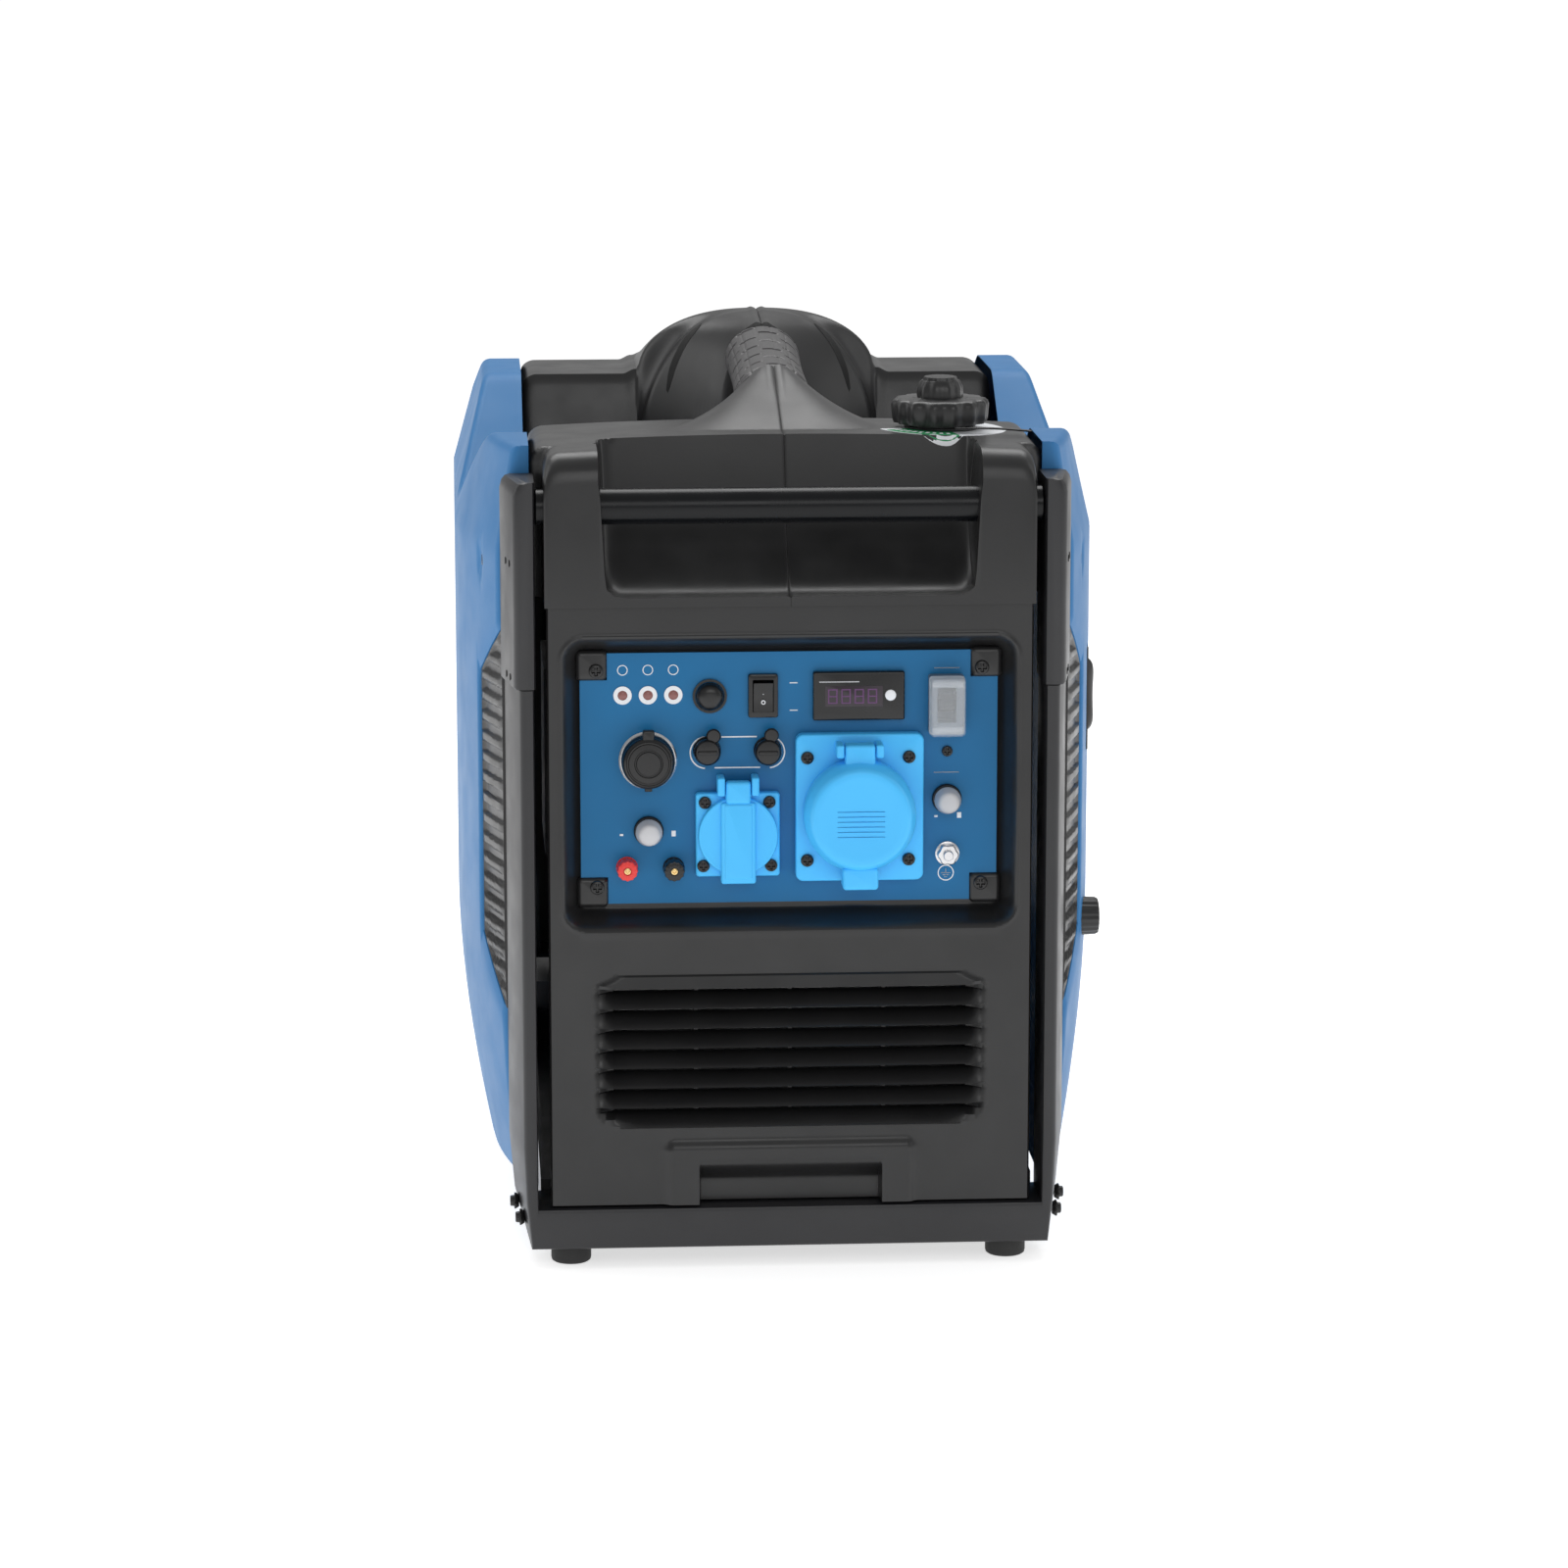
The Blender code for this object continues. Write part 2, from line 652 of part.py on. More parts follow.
def hole(name, x, z, radius, segments=20):
    return turned(name, [(radius, -0.02), (radius, 0.02)], (x, PANEL_DEPTH, z), (0, 1, 0),
                  segments=segments)


def control_panel(look):
    plate = box("control_panel", (-PANEL_HALF, PANEL_HALF), (PANEL_DEPTH, PANEL_DEPTH + PANEL_THICK),
                (PANEL_LOW, PANEL_HIGH), look)
    cutters = []
    for sx in (-1, 1):
        for low, high in ((PANEL_LOW - 0.001, PANEL_LOW + PANEL_NOTCH),
                          (PANEL_HIGH - PANEL_NOTCH, PANEL_HIGH + 0.001)):
            xs = sorted((sx * (PANEL_HALF - PANEL_NOTCH), sx * (PANEL_HALF + 0.001)))
            cutters.append(box("notch", xs, (0.01, 0.03), (low, high)))
    cutters.append(box("meter_hole", (METER_X - 0.0225, METER_X + 0.0225), (0.01, 0.03),
                       (METER_Z - 0.0120, METER_Z + 0.0120)))
    cutters.append(box("eco_hole", (ECO_X - 0.0078, ECO_X + 0.0078), (0.01, 0.03),
                       (ECO_Z - 0.0115, ECO_Z + 0.0115)))
    cutters.append(box("main_hole", (MAIN_X - 0.0090, MAIN_X + 0.0090), (0.01, 0.03),
                       (MAIN_Z - 0.0150, MAIN_Z + 0.0150)))
    cutters.append(hole("small_hole", SMALL_X, SMALL_Z, 0.0220))
    cutters.append(hole("large_hole", LARGE_X, LARGE_Z, 0.0285))
    cutters.append(hole("ats_hole", ATS_X, ATS_Z, 0.0128))
    cutters.append(hole("reset_hole", RESET_X, RESET_Z, 0.0054))
    cutters.append(hole("dc_hole", *DC_BREAKER, 0.0078))
    cutters.append(hole("ac_hole", *AC_BREAKER, 0.0078))
    cutters.append(hole("ground_hole", GROUND_X, GROUND_Z, 0.0034))
    for word, x, z, _ in JACKS:
        cutters.append(hole("jack_hole_" + word, x, z, 0.0048))
    for word, x, z in POSTS:
        cutters.append(hole("post_hole_" + word, x, z, 0.0034))
    return cut(plate, merged("panel_cutters", cutters))


def socket(name, x, z, flange, flange_front, collar, well, depth, look):
    """Panel socket: a screwed flange, a round collar and a round well open to the front."""
    body = box(name, flange[0], (flange_front, FACE), flange[1], look)
    back = turned(name + "_back", [(collar, 0), (collar, 0.024)], (x, FACE - 0.004, z), (0, 1, 0))
    bore = turned(name + "_bore", [(well, -0.05), (well, depth)], (x, flange_front, z), (0, 1, 0))
    return body, back, bore


def small_socket(look):
    flange = ((-0.0554, -0.0058), (0.2353, 0.2855))
    body, back, bore = socket("socket_small_body", SMALL_X, SMALL_Z, flange, 0.0120, 0.0215,
                              0.0195, 0.0165, look)
    ears = []
    for sx in (-1, 1):
        xs = sorted((SMALL_X + sx * 0.0079, SMALL_X + sx * 0.0123))
        ears.append(box("small_ear", xs, (0.0040, FACE), (0.2850, 0.2960)))
    fuse(body, back, *ears)
    return cut(body, bore)


def small_lid(look):
    """Sprung lid: a disc with a raised middle band and a knuckle on the hinge line."""
    lid = turned("socket_small_lid", [(0.0236, 0.0), (0.0236, -0.0030), (0.0215, -0.0045)],
                 (SMALL_X, 0.0117, SMALL_Z), (0, 1, 0), look, 28)
    band = box("small_band", (SMALL_X - 0.0103, SMALL_X + 0.0103), (0.0045, 0.0115), (0.2322, 0.2810))
    arm = box("small_arm", (SMALL_X - 0.0074, SMALL_X + 0.0074), (0.0045, 0.0100), (0.2800, 0.2920))
    fuse(lid, band, arm)
    pivot("small_lid_pivot", (SMALL_X, 0.0072, 0.2905), lid)
    return lid


LARGE_LID = 0.0065           # depth of the large lid's back face


def large_socket(look):
    flange = ((0.0035, 0.0790), (0.2322, 0.3203))
    body, back, bore = socket("socket_large_body", LARGE_X, LARGE_Z, flange, 0.0100, 0.0280,
                              0.0245, 0.0300, look)
    collar = turned("large_collar", [(0.0300, 0), (0.0300, 0.006)], (LARGE_X, 0.0069, LARGE_Z),
                    (0, 1, 0), segments=28)
    rear = turned("large_rear", [(0.0280, 0), (0.0280, 0.030)], (LARGE_X, FACE - 0.001, LARGE_Z),
                  (0, 1, 0))
    ears = []
    for sx in (-1, 1):
        xs = sorted((LARGE_X + sx * 0.0094, LARGE_X + sx * 0.0139))
        ears.append(box("large_ear", xs, (-0.0060, 0.0110), (0.3085, 0.3165)))
    fuse(body, back, collar, rear, *ears)
    return cut(body, bore)


def large_lid(look):
    lid = turned("socket_large_lid", [(0.0330, 0.0), (0.0330, -0.0120), (0.0300, -0.0180),
                                      (0.0270, -0.0205)],
                 (LARGE_X, LARGE_LID, LARGE_Z), (0, 1, 0), look, 36)
    hollow = turned("large_lid_hollow", [(0.0260, 0.001), (0.0260, -0.0140)],
                    (LARGE_X, LARGE_LID, LARGE_Z), (0, 1, 0), segments=28)
    tab = box("large_tab", (LARGE_X - 0.0105, LARGE_X + 0.0105), (-0.0100, 0.0040), (0.2305, 0.2480))
    arm = box("large_arm", (LARGE_X - 0.0089, LARGE_X + 0.0089), (-0.0060, 0.0040), (0.3000, 0.3165))
    fuse(lid, tab, arm)
    cut(lid, hollow)
    pivot("large_lid_pivot", (LARGE_X, -0.0010, 0.3135), lid)
    return lid


def meter(look):
    housing = box("meter_housing", (METER_X - 0.0270, METER_X + 0.0270), (0.0135, FACE),
                  (METER_Z - 0.0145, METER_Z + 0.0145), look)
    rear = box("meter_rear", (METER_X - 0.0220, METER_X + 0.0220), (0.0160, 0.0420),
               (METER_Z - 0.0115, METER_Z + 0.0115))
    window = box("meter_window", (METER_X - 0.0190, METER_X + 0.0130), (0.0100, 0.0145),
                 (METER_Z - 0.0050, METER_Z + 0.0050))
    bore = turned("meter_bore", [(0.0036, -0.01), (0.0036, 0.004)], (0.0594, 0.0135, 0.3429),
                  (0, 1, 0), segments=16)
    fuse(housing, rear)
    return cut(housing, window, bore)


def rocker_switch(bezel_look, rocker_look):
    bezel = box("eco_switch_bezel", (ECO_X - 0.0088, ECO_X + 0.0088), (0.0150, FACE),
                (ECO_Z - 0.0130, ECO_Z + 0.0130), bezel_look)
    rear = box("eco_rear", (ECO_X - 0.0074, ECO_X + 0.0074), (0.0160, 0.0380),
               (ECO_Z - 0.0110, ECO_Z + 0.0110))
    pocket = box("eco_pocket", (ECO_X - 0.0062, ECO_X + 0.0062), (0.0100, 0.0300),
                 (ECO_Z - 0.0097, ECO_Z + 0.0097))
    fuse(bezel, rear)
    cut(bezel, pocket)
    tilt = radians(10)
    outline = []
    for a, b in ((-0.0040, -0.0090), (-0.0024, 0.0), (-0.0040, 0.0090), (0.0030, 0.0070),
                 (0.0060, 0.0), (0.0030, -0.0070)):
        outline.append((0.0170 + a * cos(tilt) - b * sin(tilt), ECO_Z + a * sin(tilt) + b * cos(tilt)))
    rocker = prism("eco_switch_rocker", outline, "dz", (ECO_X - 0.0057, ECO_X + 0.0057), rocker_look)
    pivot("eco_pivot", (ECO_X, 0.0170, ECO_Z), rocker)


def push_breaker(word, place, body_look, boot_look):
    """Thermal breaker: a threaded bush with its ring nut and a booted push button."""
    x, z = place
    bore = 0.0050
    profile = [(bore, 0.0150), (0.0088, 0.0150), (0.0088, FACE), (0.0075, FACE + GAP),
               (0.0075, 0.0450), (bore, 0.0450)]
    ring_solid(word + "_breaker_body", profile, (x, 0.0, z), (0, 1, 0), body_look, 20)
    turned(word + "_breaker_button", [(0.0045, 0.0300), (0.0045, 0.0125), (0.0070, 0.0125),
                                      (0.0070, 0.0060), (0.0055, 0.0030), (0.0030, 0.0020)],
           (x, 0.0, z), (0, 1, 0), boot_look, 20)


def main_breaker(body_look, lever_look, clear_look):
    body = box("main_breaker_body", (MAIN_X - 0.0104, MAIN_X + 0.0104), (0.0100, FACE),
               (MAIN_Z - 0.0175, MAIN_Z + 0.0175), body_look)
    rear = box("main_rear", (MAIN_X - 0.0086, MAIN_X + 0.0086), (0.0150, 0.0450),
               (MAIN_Z - 0.0146, MAIN_Z + 0.0146))
    pocket = box("main_pocket", (MAIN_X - 0.0056, MAIN_X + 0.0056), (0.0050, 0.0240),
                 (MAIN_Z - 0.0105, MAIN_Z + 0.0105))
    fuse(body, rear)
    cut(body, pocket)
    lean = radians(38)
    tip = 0.0098
    arc = [(0.0045, pi - lean + radians(t)) for t in (50, 90, 130, 180, 230, 270, 310)]
    outline = [(0.0140 + r * cos(a), MAIN_Z + r * sin(a)) for r, a in arc]
    outline += [(0.0140 + tip * cos(a), MAIN_Z + tip * sin(a))
                for a in (pi - lean + radians(-12), pi - lean + radians(12))]
    lever = prism("main_breaker_toggle", outline, "dz", (MAIN_X - 0.0050, MAIN_X + 0.0050), lever_look)
    pivot("main_toggle_pivot", (MAIN_X, 0.0140, MAIN_Z), lever)
    flap = box("main_breaker_cover", (MAIN_X - 0.0106, MAIN_X + 0.0106), (0.0005, 0.0097),
               (MAIN_Z - 0.0177, MAIN_Z + 0.0177), clear_look)
    inside = box("main_flap_inside", (MAIN_X - 0.0094, MAIN_X + 0.0094), (0.0017, 0.0120),
                 (MAIN_Z - 0.0165, MAIN_Z + 0.0165))
    cut(flap, inside)
    pivot("main_flap_pivot", (MAIN_X, 0.0090, MAIN_Z + 0.0172), flap)


def ats_socket(body_look, cap_look):
    profile = [(0.0100, 0.0100), (0.0150, 0.0100), (0.0158, 0.0120), (0.0158, FACE), (0.0125, FACE),
               (0.0125, 0.0380), (0.0040, 0.0380), (0.0040, 0.0300), (0.0100, 0.0300)]
    ring_solid("ats_connector", profile, (ATS_X, 0.0, ATS_Z), (0, 1, 0), body_look, 28)
    cap = turned("ats_cap", [(0.0152, 0.0097), (0.0152, 0.0065), (0.0130, 0.0045), (0.0060, 0.0040)],
                 (ATS_X, 0.0, ATS_Z), (0, 1, 0), cap_look, 28)
    tab = box("ats_tab", (ATS_X - 0.0035, ATS_X + 0.0035), (0.0055, 0.0095), (0.3150, 0.3245))
    fuse(cap, tab)
    pivot("ats_pivot", (ATS_X, 0.0085, 0.3225), cap)


def parallel_jack(word, x, z, pin_x, body_look, cap_look):
    profile = [(0.0028, 0.0125), (0.0060, 0.0125), (0.0060, FACE), (0.0045, FACE),
               (0.0045, 0.0300), (0.0015, 0.0300), (0.0015, 0.0240), (0.0028, 0.0240)]
    ring_solid("parallel_jack_" + word, profile, (x, 0.0, z), (0, 1, 0), body_look, 20)
    cap = turned("parallel_cap_" + word, [(0.0078, 0.0121), (0.0078, 0.0095), (0.0065, 0.0075)],
                 (x, 0.0, z), (0, 1, 0), cap_look, 24)
    ear = turned("parallel_ear_" + word, [(0.0042, 0.0121), (0.0042, 0.0090)],
                 (pin_x, 0.0, 0.3200), (0, 1, 0), None, 16)
    fuse(cap, ear)
    pivot("parallel_pivot_" + word, (pin_x, 0.0100, 0.3200), cap)


def binding_post(word, x, z, look):
    """Screw terminal: a plastic head on a stud; turning the head clamps the wire."""
    turned("dc_terminal_" + word, [(0.0029, 0.0320), (0.0029, 0.0165), (0.0060, 0.0165),
                                   (0.0060, 0.0085), (0.0048, 0.0060), (0.0030, 0.0055)],
           (x, 0.0, z), (0, 1, 0), look, 20)


def ground_terminal(look):
    """Earth stud with a hexagon head that clamps the earth wire."""
    stud = turned("ground_terminal", [(0.0029, 0.0320), (0.0029, FACE), (0.0070, FACE),
                                      (0.0070, 0.0150), (0.0045, 0.0150)],
                  (GROUND_X, 0.0, GROUND_Z), (0, 1, 0), look, 18)
    head = turned("ground_head", [(0.0062, 0.0156), (0.0062, 0.0095), (0.0048, 0.0085)],
                  (GROUND_X, 0.0, GROUND_Z), (0, 1, 0), None, 6)
    fuse(stud, head)


# ---- fuel, engine and electrics ----------------------------------------------
def fuel_tank(look):
    """Tank under the deck, with its filler neck up through the top cover."""
    tank = box("fuel_tank", (-0.095, 0.132), (0.080, 0.322), (0.345, 0.396), look)
    upper = box("tank_upper", (-0.095, 0.132), (0.074, 0.322), (0.390, 0.436))
    neck = turned("tank_neck", [(NECK_RADIUS, -0.01), (NECK_RADIUS, 0.0610)],
                  (CAP_X, CAP_DEPTH, 0.430), (0, 0, 1), segments=28)
    inside = box("tank_inside", (-0.0935, 0.1305), (0.0815, 0.3205), (0.3465, 0.4345))
    mouth = turned("tank_mouth", [(NECK_RADIUS - 0.0025, -0.01), (NECK_RADIUS - 0.0025, 0.08)],
                   (CAP_X, CAP_DEPTH, 0.430), (0, 0, 1), segments=28)
    fuse(tank, upper, neck)
    return cut(tank, inside, mouth)


def fuel_cap(core_look, shell_look, knob_look):
    base = 0.4925
    turned("fuel_cap_core", [(NECK_RADIUS - 0.0030, -0.012), (NECK_RADIUS - 0.0030, 0.0),
                             (NECK_RADIUS - 0.0005, 0.0), (NECK_RADIUS - 0.0005, 0.0040)],
           (CAP_X, CAP_DEPTH, base - 0.0007), (0, 0, 1), core_look, 28)
    top = 0.0150
    shell = ring_solid("fuel_cap_shell", [(NECK_RADIUS + 0.0006, 0.0), (CAP_RADIUS, 0.0),
                                          (CAP_RADIUS, top - 0.003), (CAP_RADIUS - 0.004, top),
                                          (0.0050, top), (0.0050, 0.0042),
                                          (NECK_RADIUS + 0.0006, 0.0042)],
                       (CAP_X, CAP_DEPTH, base), (0, 0, 1), shell_look, 32)
    turned("fuel_cap_vent_knob", [(0.0040, 0.0050), (0.0040, top + GAP), (0.0142, top + GAP),
                                  (0.0142, top + 0.0100), (0.0115, top + 0.0130)],
           (CAP_X, CAP_DEPTH, base), (0, 0, 1), knob_look, 24, lobes=8, lobe=0.05)
    return shell


def engine(look):
    """Crankcase with its finned cylinder standing on it."""
    block = box("engine_block", (-0.060, 0.050), (0.235, 0.365), (0.110, 0.240), look)
    barrel = box("engine_barrel", (-0.040, 0.035), (0.255, 0.345), (0.230, 0.335))
    bore = turned("engine_bore", [(0.0126, -0.3), (0.0126, 0.3)], (0, SHAFT_D, SHAFT_Z), (1, 0, 0))
    fins = []
    for k in range(6):
        z = 0.248 + 0.014 * k
        fins.append(box("fin", (-0.052, 0.047), (0.243, 0.357), (z, z + 0.004)))
    fuse(block, barrel, *fins)
    return cut(block, bore)


def rotating_group(steel, plastic):
    centre = (0, SHAFT_D, SHAFT_Z)
    turned("crankshaft_rotor", [(0.0122, -0.056), (0.0122, 0.0620), (0.046, 0.0620),
                                (0.046, 0.0880), (0.0122, 0.0880), (0.0122, 0.1120)],
           centre, (1, 0, 0), steel, 28)
    fan = ring_solid("cooling_fan", [(0.0125, 0.0910), (0.070, 0.0910), (0.070, 0.0935),
                                     (0.022, 0.0935), (0.022, 0.1060), (0.0125, 0.1060)],
                     centre, (1, 0, 0), plastic, 28)
    blades = []
    for k in range(10):
        blade = box("blade", (0.0930, 0.1060), (0.0, 0.0024), (0.0205, 0.068))
        blade.data.transform(Matrix.Translation((0, -at(0), 0)))
        blade.data.transform(Matrix.Rotation(2 * pi * k / 10, 4, "X"))
        blade.data.transform(Matrix.Translation((0, at(SHAFT_D), SHAFT_Z)))
        blades.append(blade)
    fuse(fan, *blades)
    ring_solid("alternator_stator", [(0.0470, 0.0600), (0.062, 0.0600), (0.062, 0.0885),
                                     (0.0470, 0.0885)], centre, (1, 0, 0), steel, 28)


def recoil(housing_look, grip_look):
    ring_solid("recoil_housing", [(0.0720, 0.0900), (0.0760, 0.0900), (0.0760, 0.1300),
                                  (0.0200, 0.1400), (0.0200, 0.1360), (0.0720, 0.1260)],
               (0, SHAFT_D, SHAFT_Z), (1, 0, 0), housing_look, 28)
    box("recoil_handle", (0.1760, HALF_WIDTH), (0.1220, 0.1380), (0.2980, 0.3450), grip_look)
    guide = box("recoil_guide", (0.1620, 0.1885), (0.1140, 0.1460), (0.2900, 0.3530), housing_look)
    cup = box("guide_cup", (0.1745, 0.2100), (0.1170, 0.1430), (0.2930, 0.3500))
    rope = turned("guide_rope", [(0.0030, -0.03), (0.0030, 0.03)], (0.168, 0.130, 0.3215), (1, 0, 0),
                  segments=12)
    cut(guide, cup, rope)


def switch_knob(look):
    turned("engine_switch_knob", [(0.0050, 0.1700), (0.0050, 0.1865), (0.0130, 0.1865),
                                  (0.0130, 0.1930), (0.0110, HALF_WIDTH)],
           (0.0, 0.1050, 0.1880), (1, 0, 0), look, 24, lobes=3, lobe=0.05)


def build():
    clear_scene()
    black = material("black_plastic", (0.045, 0.045, 0.048), 0.5)
    frame = material("frame_black", (0.06, 0.06, 0.063), 0.45)
    blue = material("blue_plastic", (0.05, 0.27, 0.60), 0.35)
    panel = material("panel_blue", (0.03, 0.16, 0.39), 0.4)
    light = material("socket_blue", (0.10, 0.47, 1.0), 0.35)
    rubber = material("rubber", (0.03, 0.03, 0.03), 0.7)
    steel = material("steel", (0.6, 0.6, 0.6), 0.35, 1.0)
    alloy = material("aluminium", (0.75, 0.75, 0.75), 0.4, 1.0)
    brass = material("brass", (0.8, 0.6, 0.3), 0.35, 1.0)
    red = material("red_plastic", (0.7, 0.04, 0.03), 0.4)
    white = material("white_boot", (0.8, 0.8, 0.8), 0.4, alpha=0.8)
    clear = material("clear_plastic", (0.9, 0.9, 0.9), 0.1, alpha=0.35)

    front_frame(frame)
    front_cover(black)
    rear_cover(black)
    base_tray(frame)
    left_top = top_cover("top_cover_left", -1, black)
    right_top = top_cover("top_cover_right", 1, black)
    for word, side in (("left", -1), ("right", 1)):
        post_sleeve("post_sleeve_" + word, side, frame)
        foot("foot_" + word, side * 0.1305, rubber)
        wheel("wheel_" + word, side, rubber)
        vent = side_vent("side_vent_" + word, side, frame)
        cover = side_cover("side_cover_" + word, side, blue)
        xs = sorted((side * 0.158, side * 0.21))
        cut(cover, prism("vent_hole_" + word, VENT_OUTLINE, "dz", xs))
        if side > 0:
            cut(cover, box("guide_hole", (0.15, 0.21), (0.1137, 0.1463), (0.2897, 0.3533)))
            cut(cover, turned("knob_hole", [(0.0145, 0.16), (0.0145, 0.21)], (0, 0.105, 0.188),
                              (1, 0, 0)))
    bar = turned("pull_bar", [(BAR_RADIUS, GAP + 0.001 - POST_INNER), (BAR_RADIUS, POST_INNER
                                                                       - 0.001 - GAP)],
                 (0, BAR_DEPTH, BAR_Z), (1, 0, 0), steel, 24)
    bar_holes = [turned("bar_hole_" + word, [(BAR_RADIUS + GAP, low), (BAR_RADIUS + GAP, high)],
                        (0, BAR_DEPTH, BAR_Z), (1, 0, 0), segments=24)
                 for word, low, high in (("left", -0.2, -0.09), ("right", 0.09, 0.2))]
    neck_hole = turned("neck_hole", [(NECK_RADIUS + GAP, 0.0), (NECK_RADIUS + GAP, 0.1)],
                       (CAP_X, CAP_DEPTH, 0.44), (0, 0, 1), segments=28)
    cut(left_top, bar_holes[0])
    cut(right_top, neck_hole, bar_holes[1])
    right_top.modifiers[0].solver = "MANIFOLD"
    carry_grip(rubber)
    turned("wheel_axle", [(AXLE_RADIUS, -0.184), (AXLE_RADIUS, 0.184)],
           (0, AXLE_DEPTH, WHEEL_RADIUS), (1, 0, 0), steel, 16)

    control_panel(panel)
    small_socket(light)
    small_lid(light)
    large_socket(light)
    large_lid(light)
    meter(black)
    turned("meter_button", [(0.0032, 0.0165), (0.0032, 0.0125), (0.0024, 0.0120)],
           (0.0594, 0.0, 0.3429), (0, 1, 0), white, 16)
    rocker_switch(black, black)
    turned("ac_reset_button", [(0.0050, 0.0300), (0.0050, 0.0160), (0.0083, 0.0160),
                               (0.0083, 0.0140), (0.0060, 0.0110), (0.0030, 0.0100)],
           (RESET_X, 0.0, RESET_Z), (0, 1, 0), black, 24)
    push_breaker("dc", DC_BREAKER, steel, white)
    push_breaker("ac", AC_BREAKER, steel, white)
    main_breaker(black, black, clear)
    ats_socket(black, black)
    for word, x, z, pin_x in JACKS:
        parallel_jack(word, x, z, pin_x, brass, black)
    for word, x, z in POSTS:
        binding_post(word, x, z, red if word == "positive" else black)
    ground_terminal(steel)

    fuel_tank(black)
    fuel_cap(black, black, black)
    engine(alloy)
    rotating_group(steel, black)
    recoil(black, black)
    switch_knob(black)
    box("inverter_module", (-0.105, 0.105), (0.052, 0.110), (0.060, 0.185), alloy)
    box("air_filter_box", (-0.140, -0.070), (0.250, 0.360), (0.200, 0.320), black)
    muffler = turned("muffler", [(0.046, -0.085), (0.050, -0.080), (0.050, 0.080), (0.046, 0.085)],
                     (0, 0.450, 0.250), (1, 0, 0), steel, 24)
    pipe = turned("muffler_pipe", [(0.012, 0.0), (0.012, 0.108)], (0.060, 0.455, 0.290), (0, 1, 0),
                  segments=16)
    fuse(muffler, pipe)
    for item in bpy.data.objects:
        if item.type == "MESH" and item.display_type != "WIRE":
            item.data.shade_smooth()
            item.data.set_sharp_from_angle(angle=radians(30))


build()
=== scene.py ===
"""Portable inverter generator: the finished look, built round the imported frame."""
import json
import math

import bmesh
import bpy
import numpy as np
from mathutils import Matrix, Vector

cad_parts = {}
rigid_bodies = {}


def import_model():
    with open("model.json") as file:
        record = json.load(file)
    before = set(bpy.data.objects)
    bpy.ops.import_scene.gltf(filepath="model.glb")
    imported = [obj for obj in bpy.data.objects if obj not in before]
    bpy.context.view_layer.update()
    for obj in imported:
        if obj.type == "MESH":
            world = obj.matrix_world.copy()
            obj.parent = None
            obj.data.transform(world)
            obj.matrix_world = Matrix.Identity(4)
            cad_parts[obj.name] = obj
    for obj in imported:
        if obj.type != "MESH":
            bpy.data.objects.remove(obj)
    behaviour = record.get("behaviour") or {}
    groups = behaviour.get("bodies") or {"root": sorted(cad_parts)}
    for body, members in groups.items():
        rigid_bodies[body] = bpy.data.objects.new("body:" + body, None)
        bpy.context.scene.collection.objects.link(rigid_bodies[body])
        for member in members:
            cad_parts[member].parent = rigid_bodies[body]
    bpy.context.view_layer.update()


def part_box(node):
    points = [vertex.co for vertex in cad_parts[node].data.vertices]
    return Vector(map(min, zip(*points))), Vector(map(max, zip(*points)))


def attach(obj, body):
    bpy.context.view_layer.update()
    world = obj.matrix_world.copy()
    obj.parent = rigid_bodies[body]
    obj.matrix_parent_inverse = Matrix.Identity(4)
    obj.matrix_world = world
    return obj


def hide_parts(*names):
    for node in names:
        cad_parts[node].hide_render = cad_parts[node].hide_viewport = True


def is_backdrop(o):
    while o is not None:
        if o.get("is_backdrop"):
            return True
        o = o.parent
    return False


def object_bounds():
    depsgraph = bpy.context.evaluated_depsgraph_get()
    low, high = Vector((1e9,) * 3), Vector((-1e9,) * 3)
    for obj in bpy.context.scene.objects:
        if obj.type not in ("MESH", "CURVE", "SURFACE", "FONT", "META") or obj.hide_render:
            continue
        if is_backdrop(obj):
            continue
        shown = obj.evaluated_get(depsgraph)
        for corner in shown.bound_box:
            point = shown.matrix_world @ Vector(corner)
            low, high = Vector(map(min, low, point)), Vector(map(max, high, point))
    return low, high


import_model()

# ---- Studio ------------------------------------------------------------------
# A pale floor, a large soft light on each side and one above, and a long lens a
# little to the left of the machine and above it.
face_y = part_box("front_cover")[0][1]
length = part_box("rear_cover")[1][1] - face_y


def stand(name, data):
    """New object of its data, put into the scene."""
    thing = bpy.data.objects.new(name, data)
    bpy.context.collection.objects.link(thing)
    return thing


camera_data = bpy.data.cameras.new("camera")
camera_data.lens = 120.0
camera_data.sensor_width = 36.0
camera = stand("camera", camera_data)
camera.location = (-0.195, face_y - 3.0, 0.88)
camera.rotation_euler = (math.radians(90 - 11.05), 0, math.radians(-3.64))
bpy.context.scene.camera = camera

world = bpy.data.worlds.new("studio")
world.use_nodes = True
world.node_tree.nodes["Background"].inputs["Color"].default_value = (1, 1, 1, 1)
world.node_tree.nodes["Background"].inputs["Strength"].default_value = 0.45
bpy.context.scene.world = world
bpy.context.scene.view_settings.view_transform = "Standard"


def softbox(name, place, aim, width, height, power):
    """Rectangular area light at a place, turned to face its aim."""
    data = bpy.data.lights.new(name, "AREA")
    data.shape = "RECTANGLE"
    data.size = width
    data.size_y = height
    data.energy = power
    lamp = stand(name, data)
    lamp.location = place
    way = np.subtract(aim, place)
    flat = math.hypot(way[0], way[1])
    lamp.rotation_euler = (math.pi / 2 + math.atan2(way[2], flat), 0, math.atan2(-way[0], way[1]))


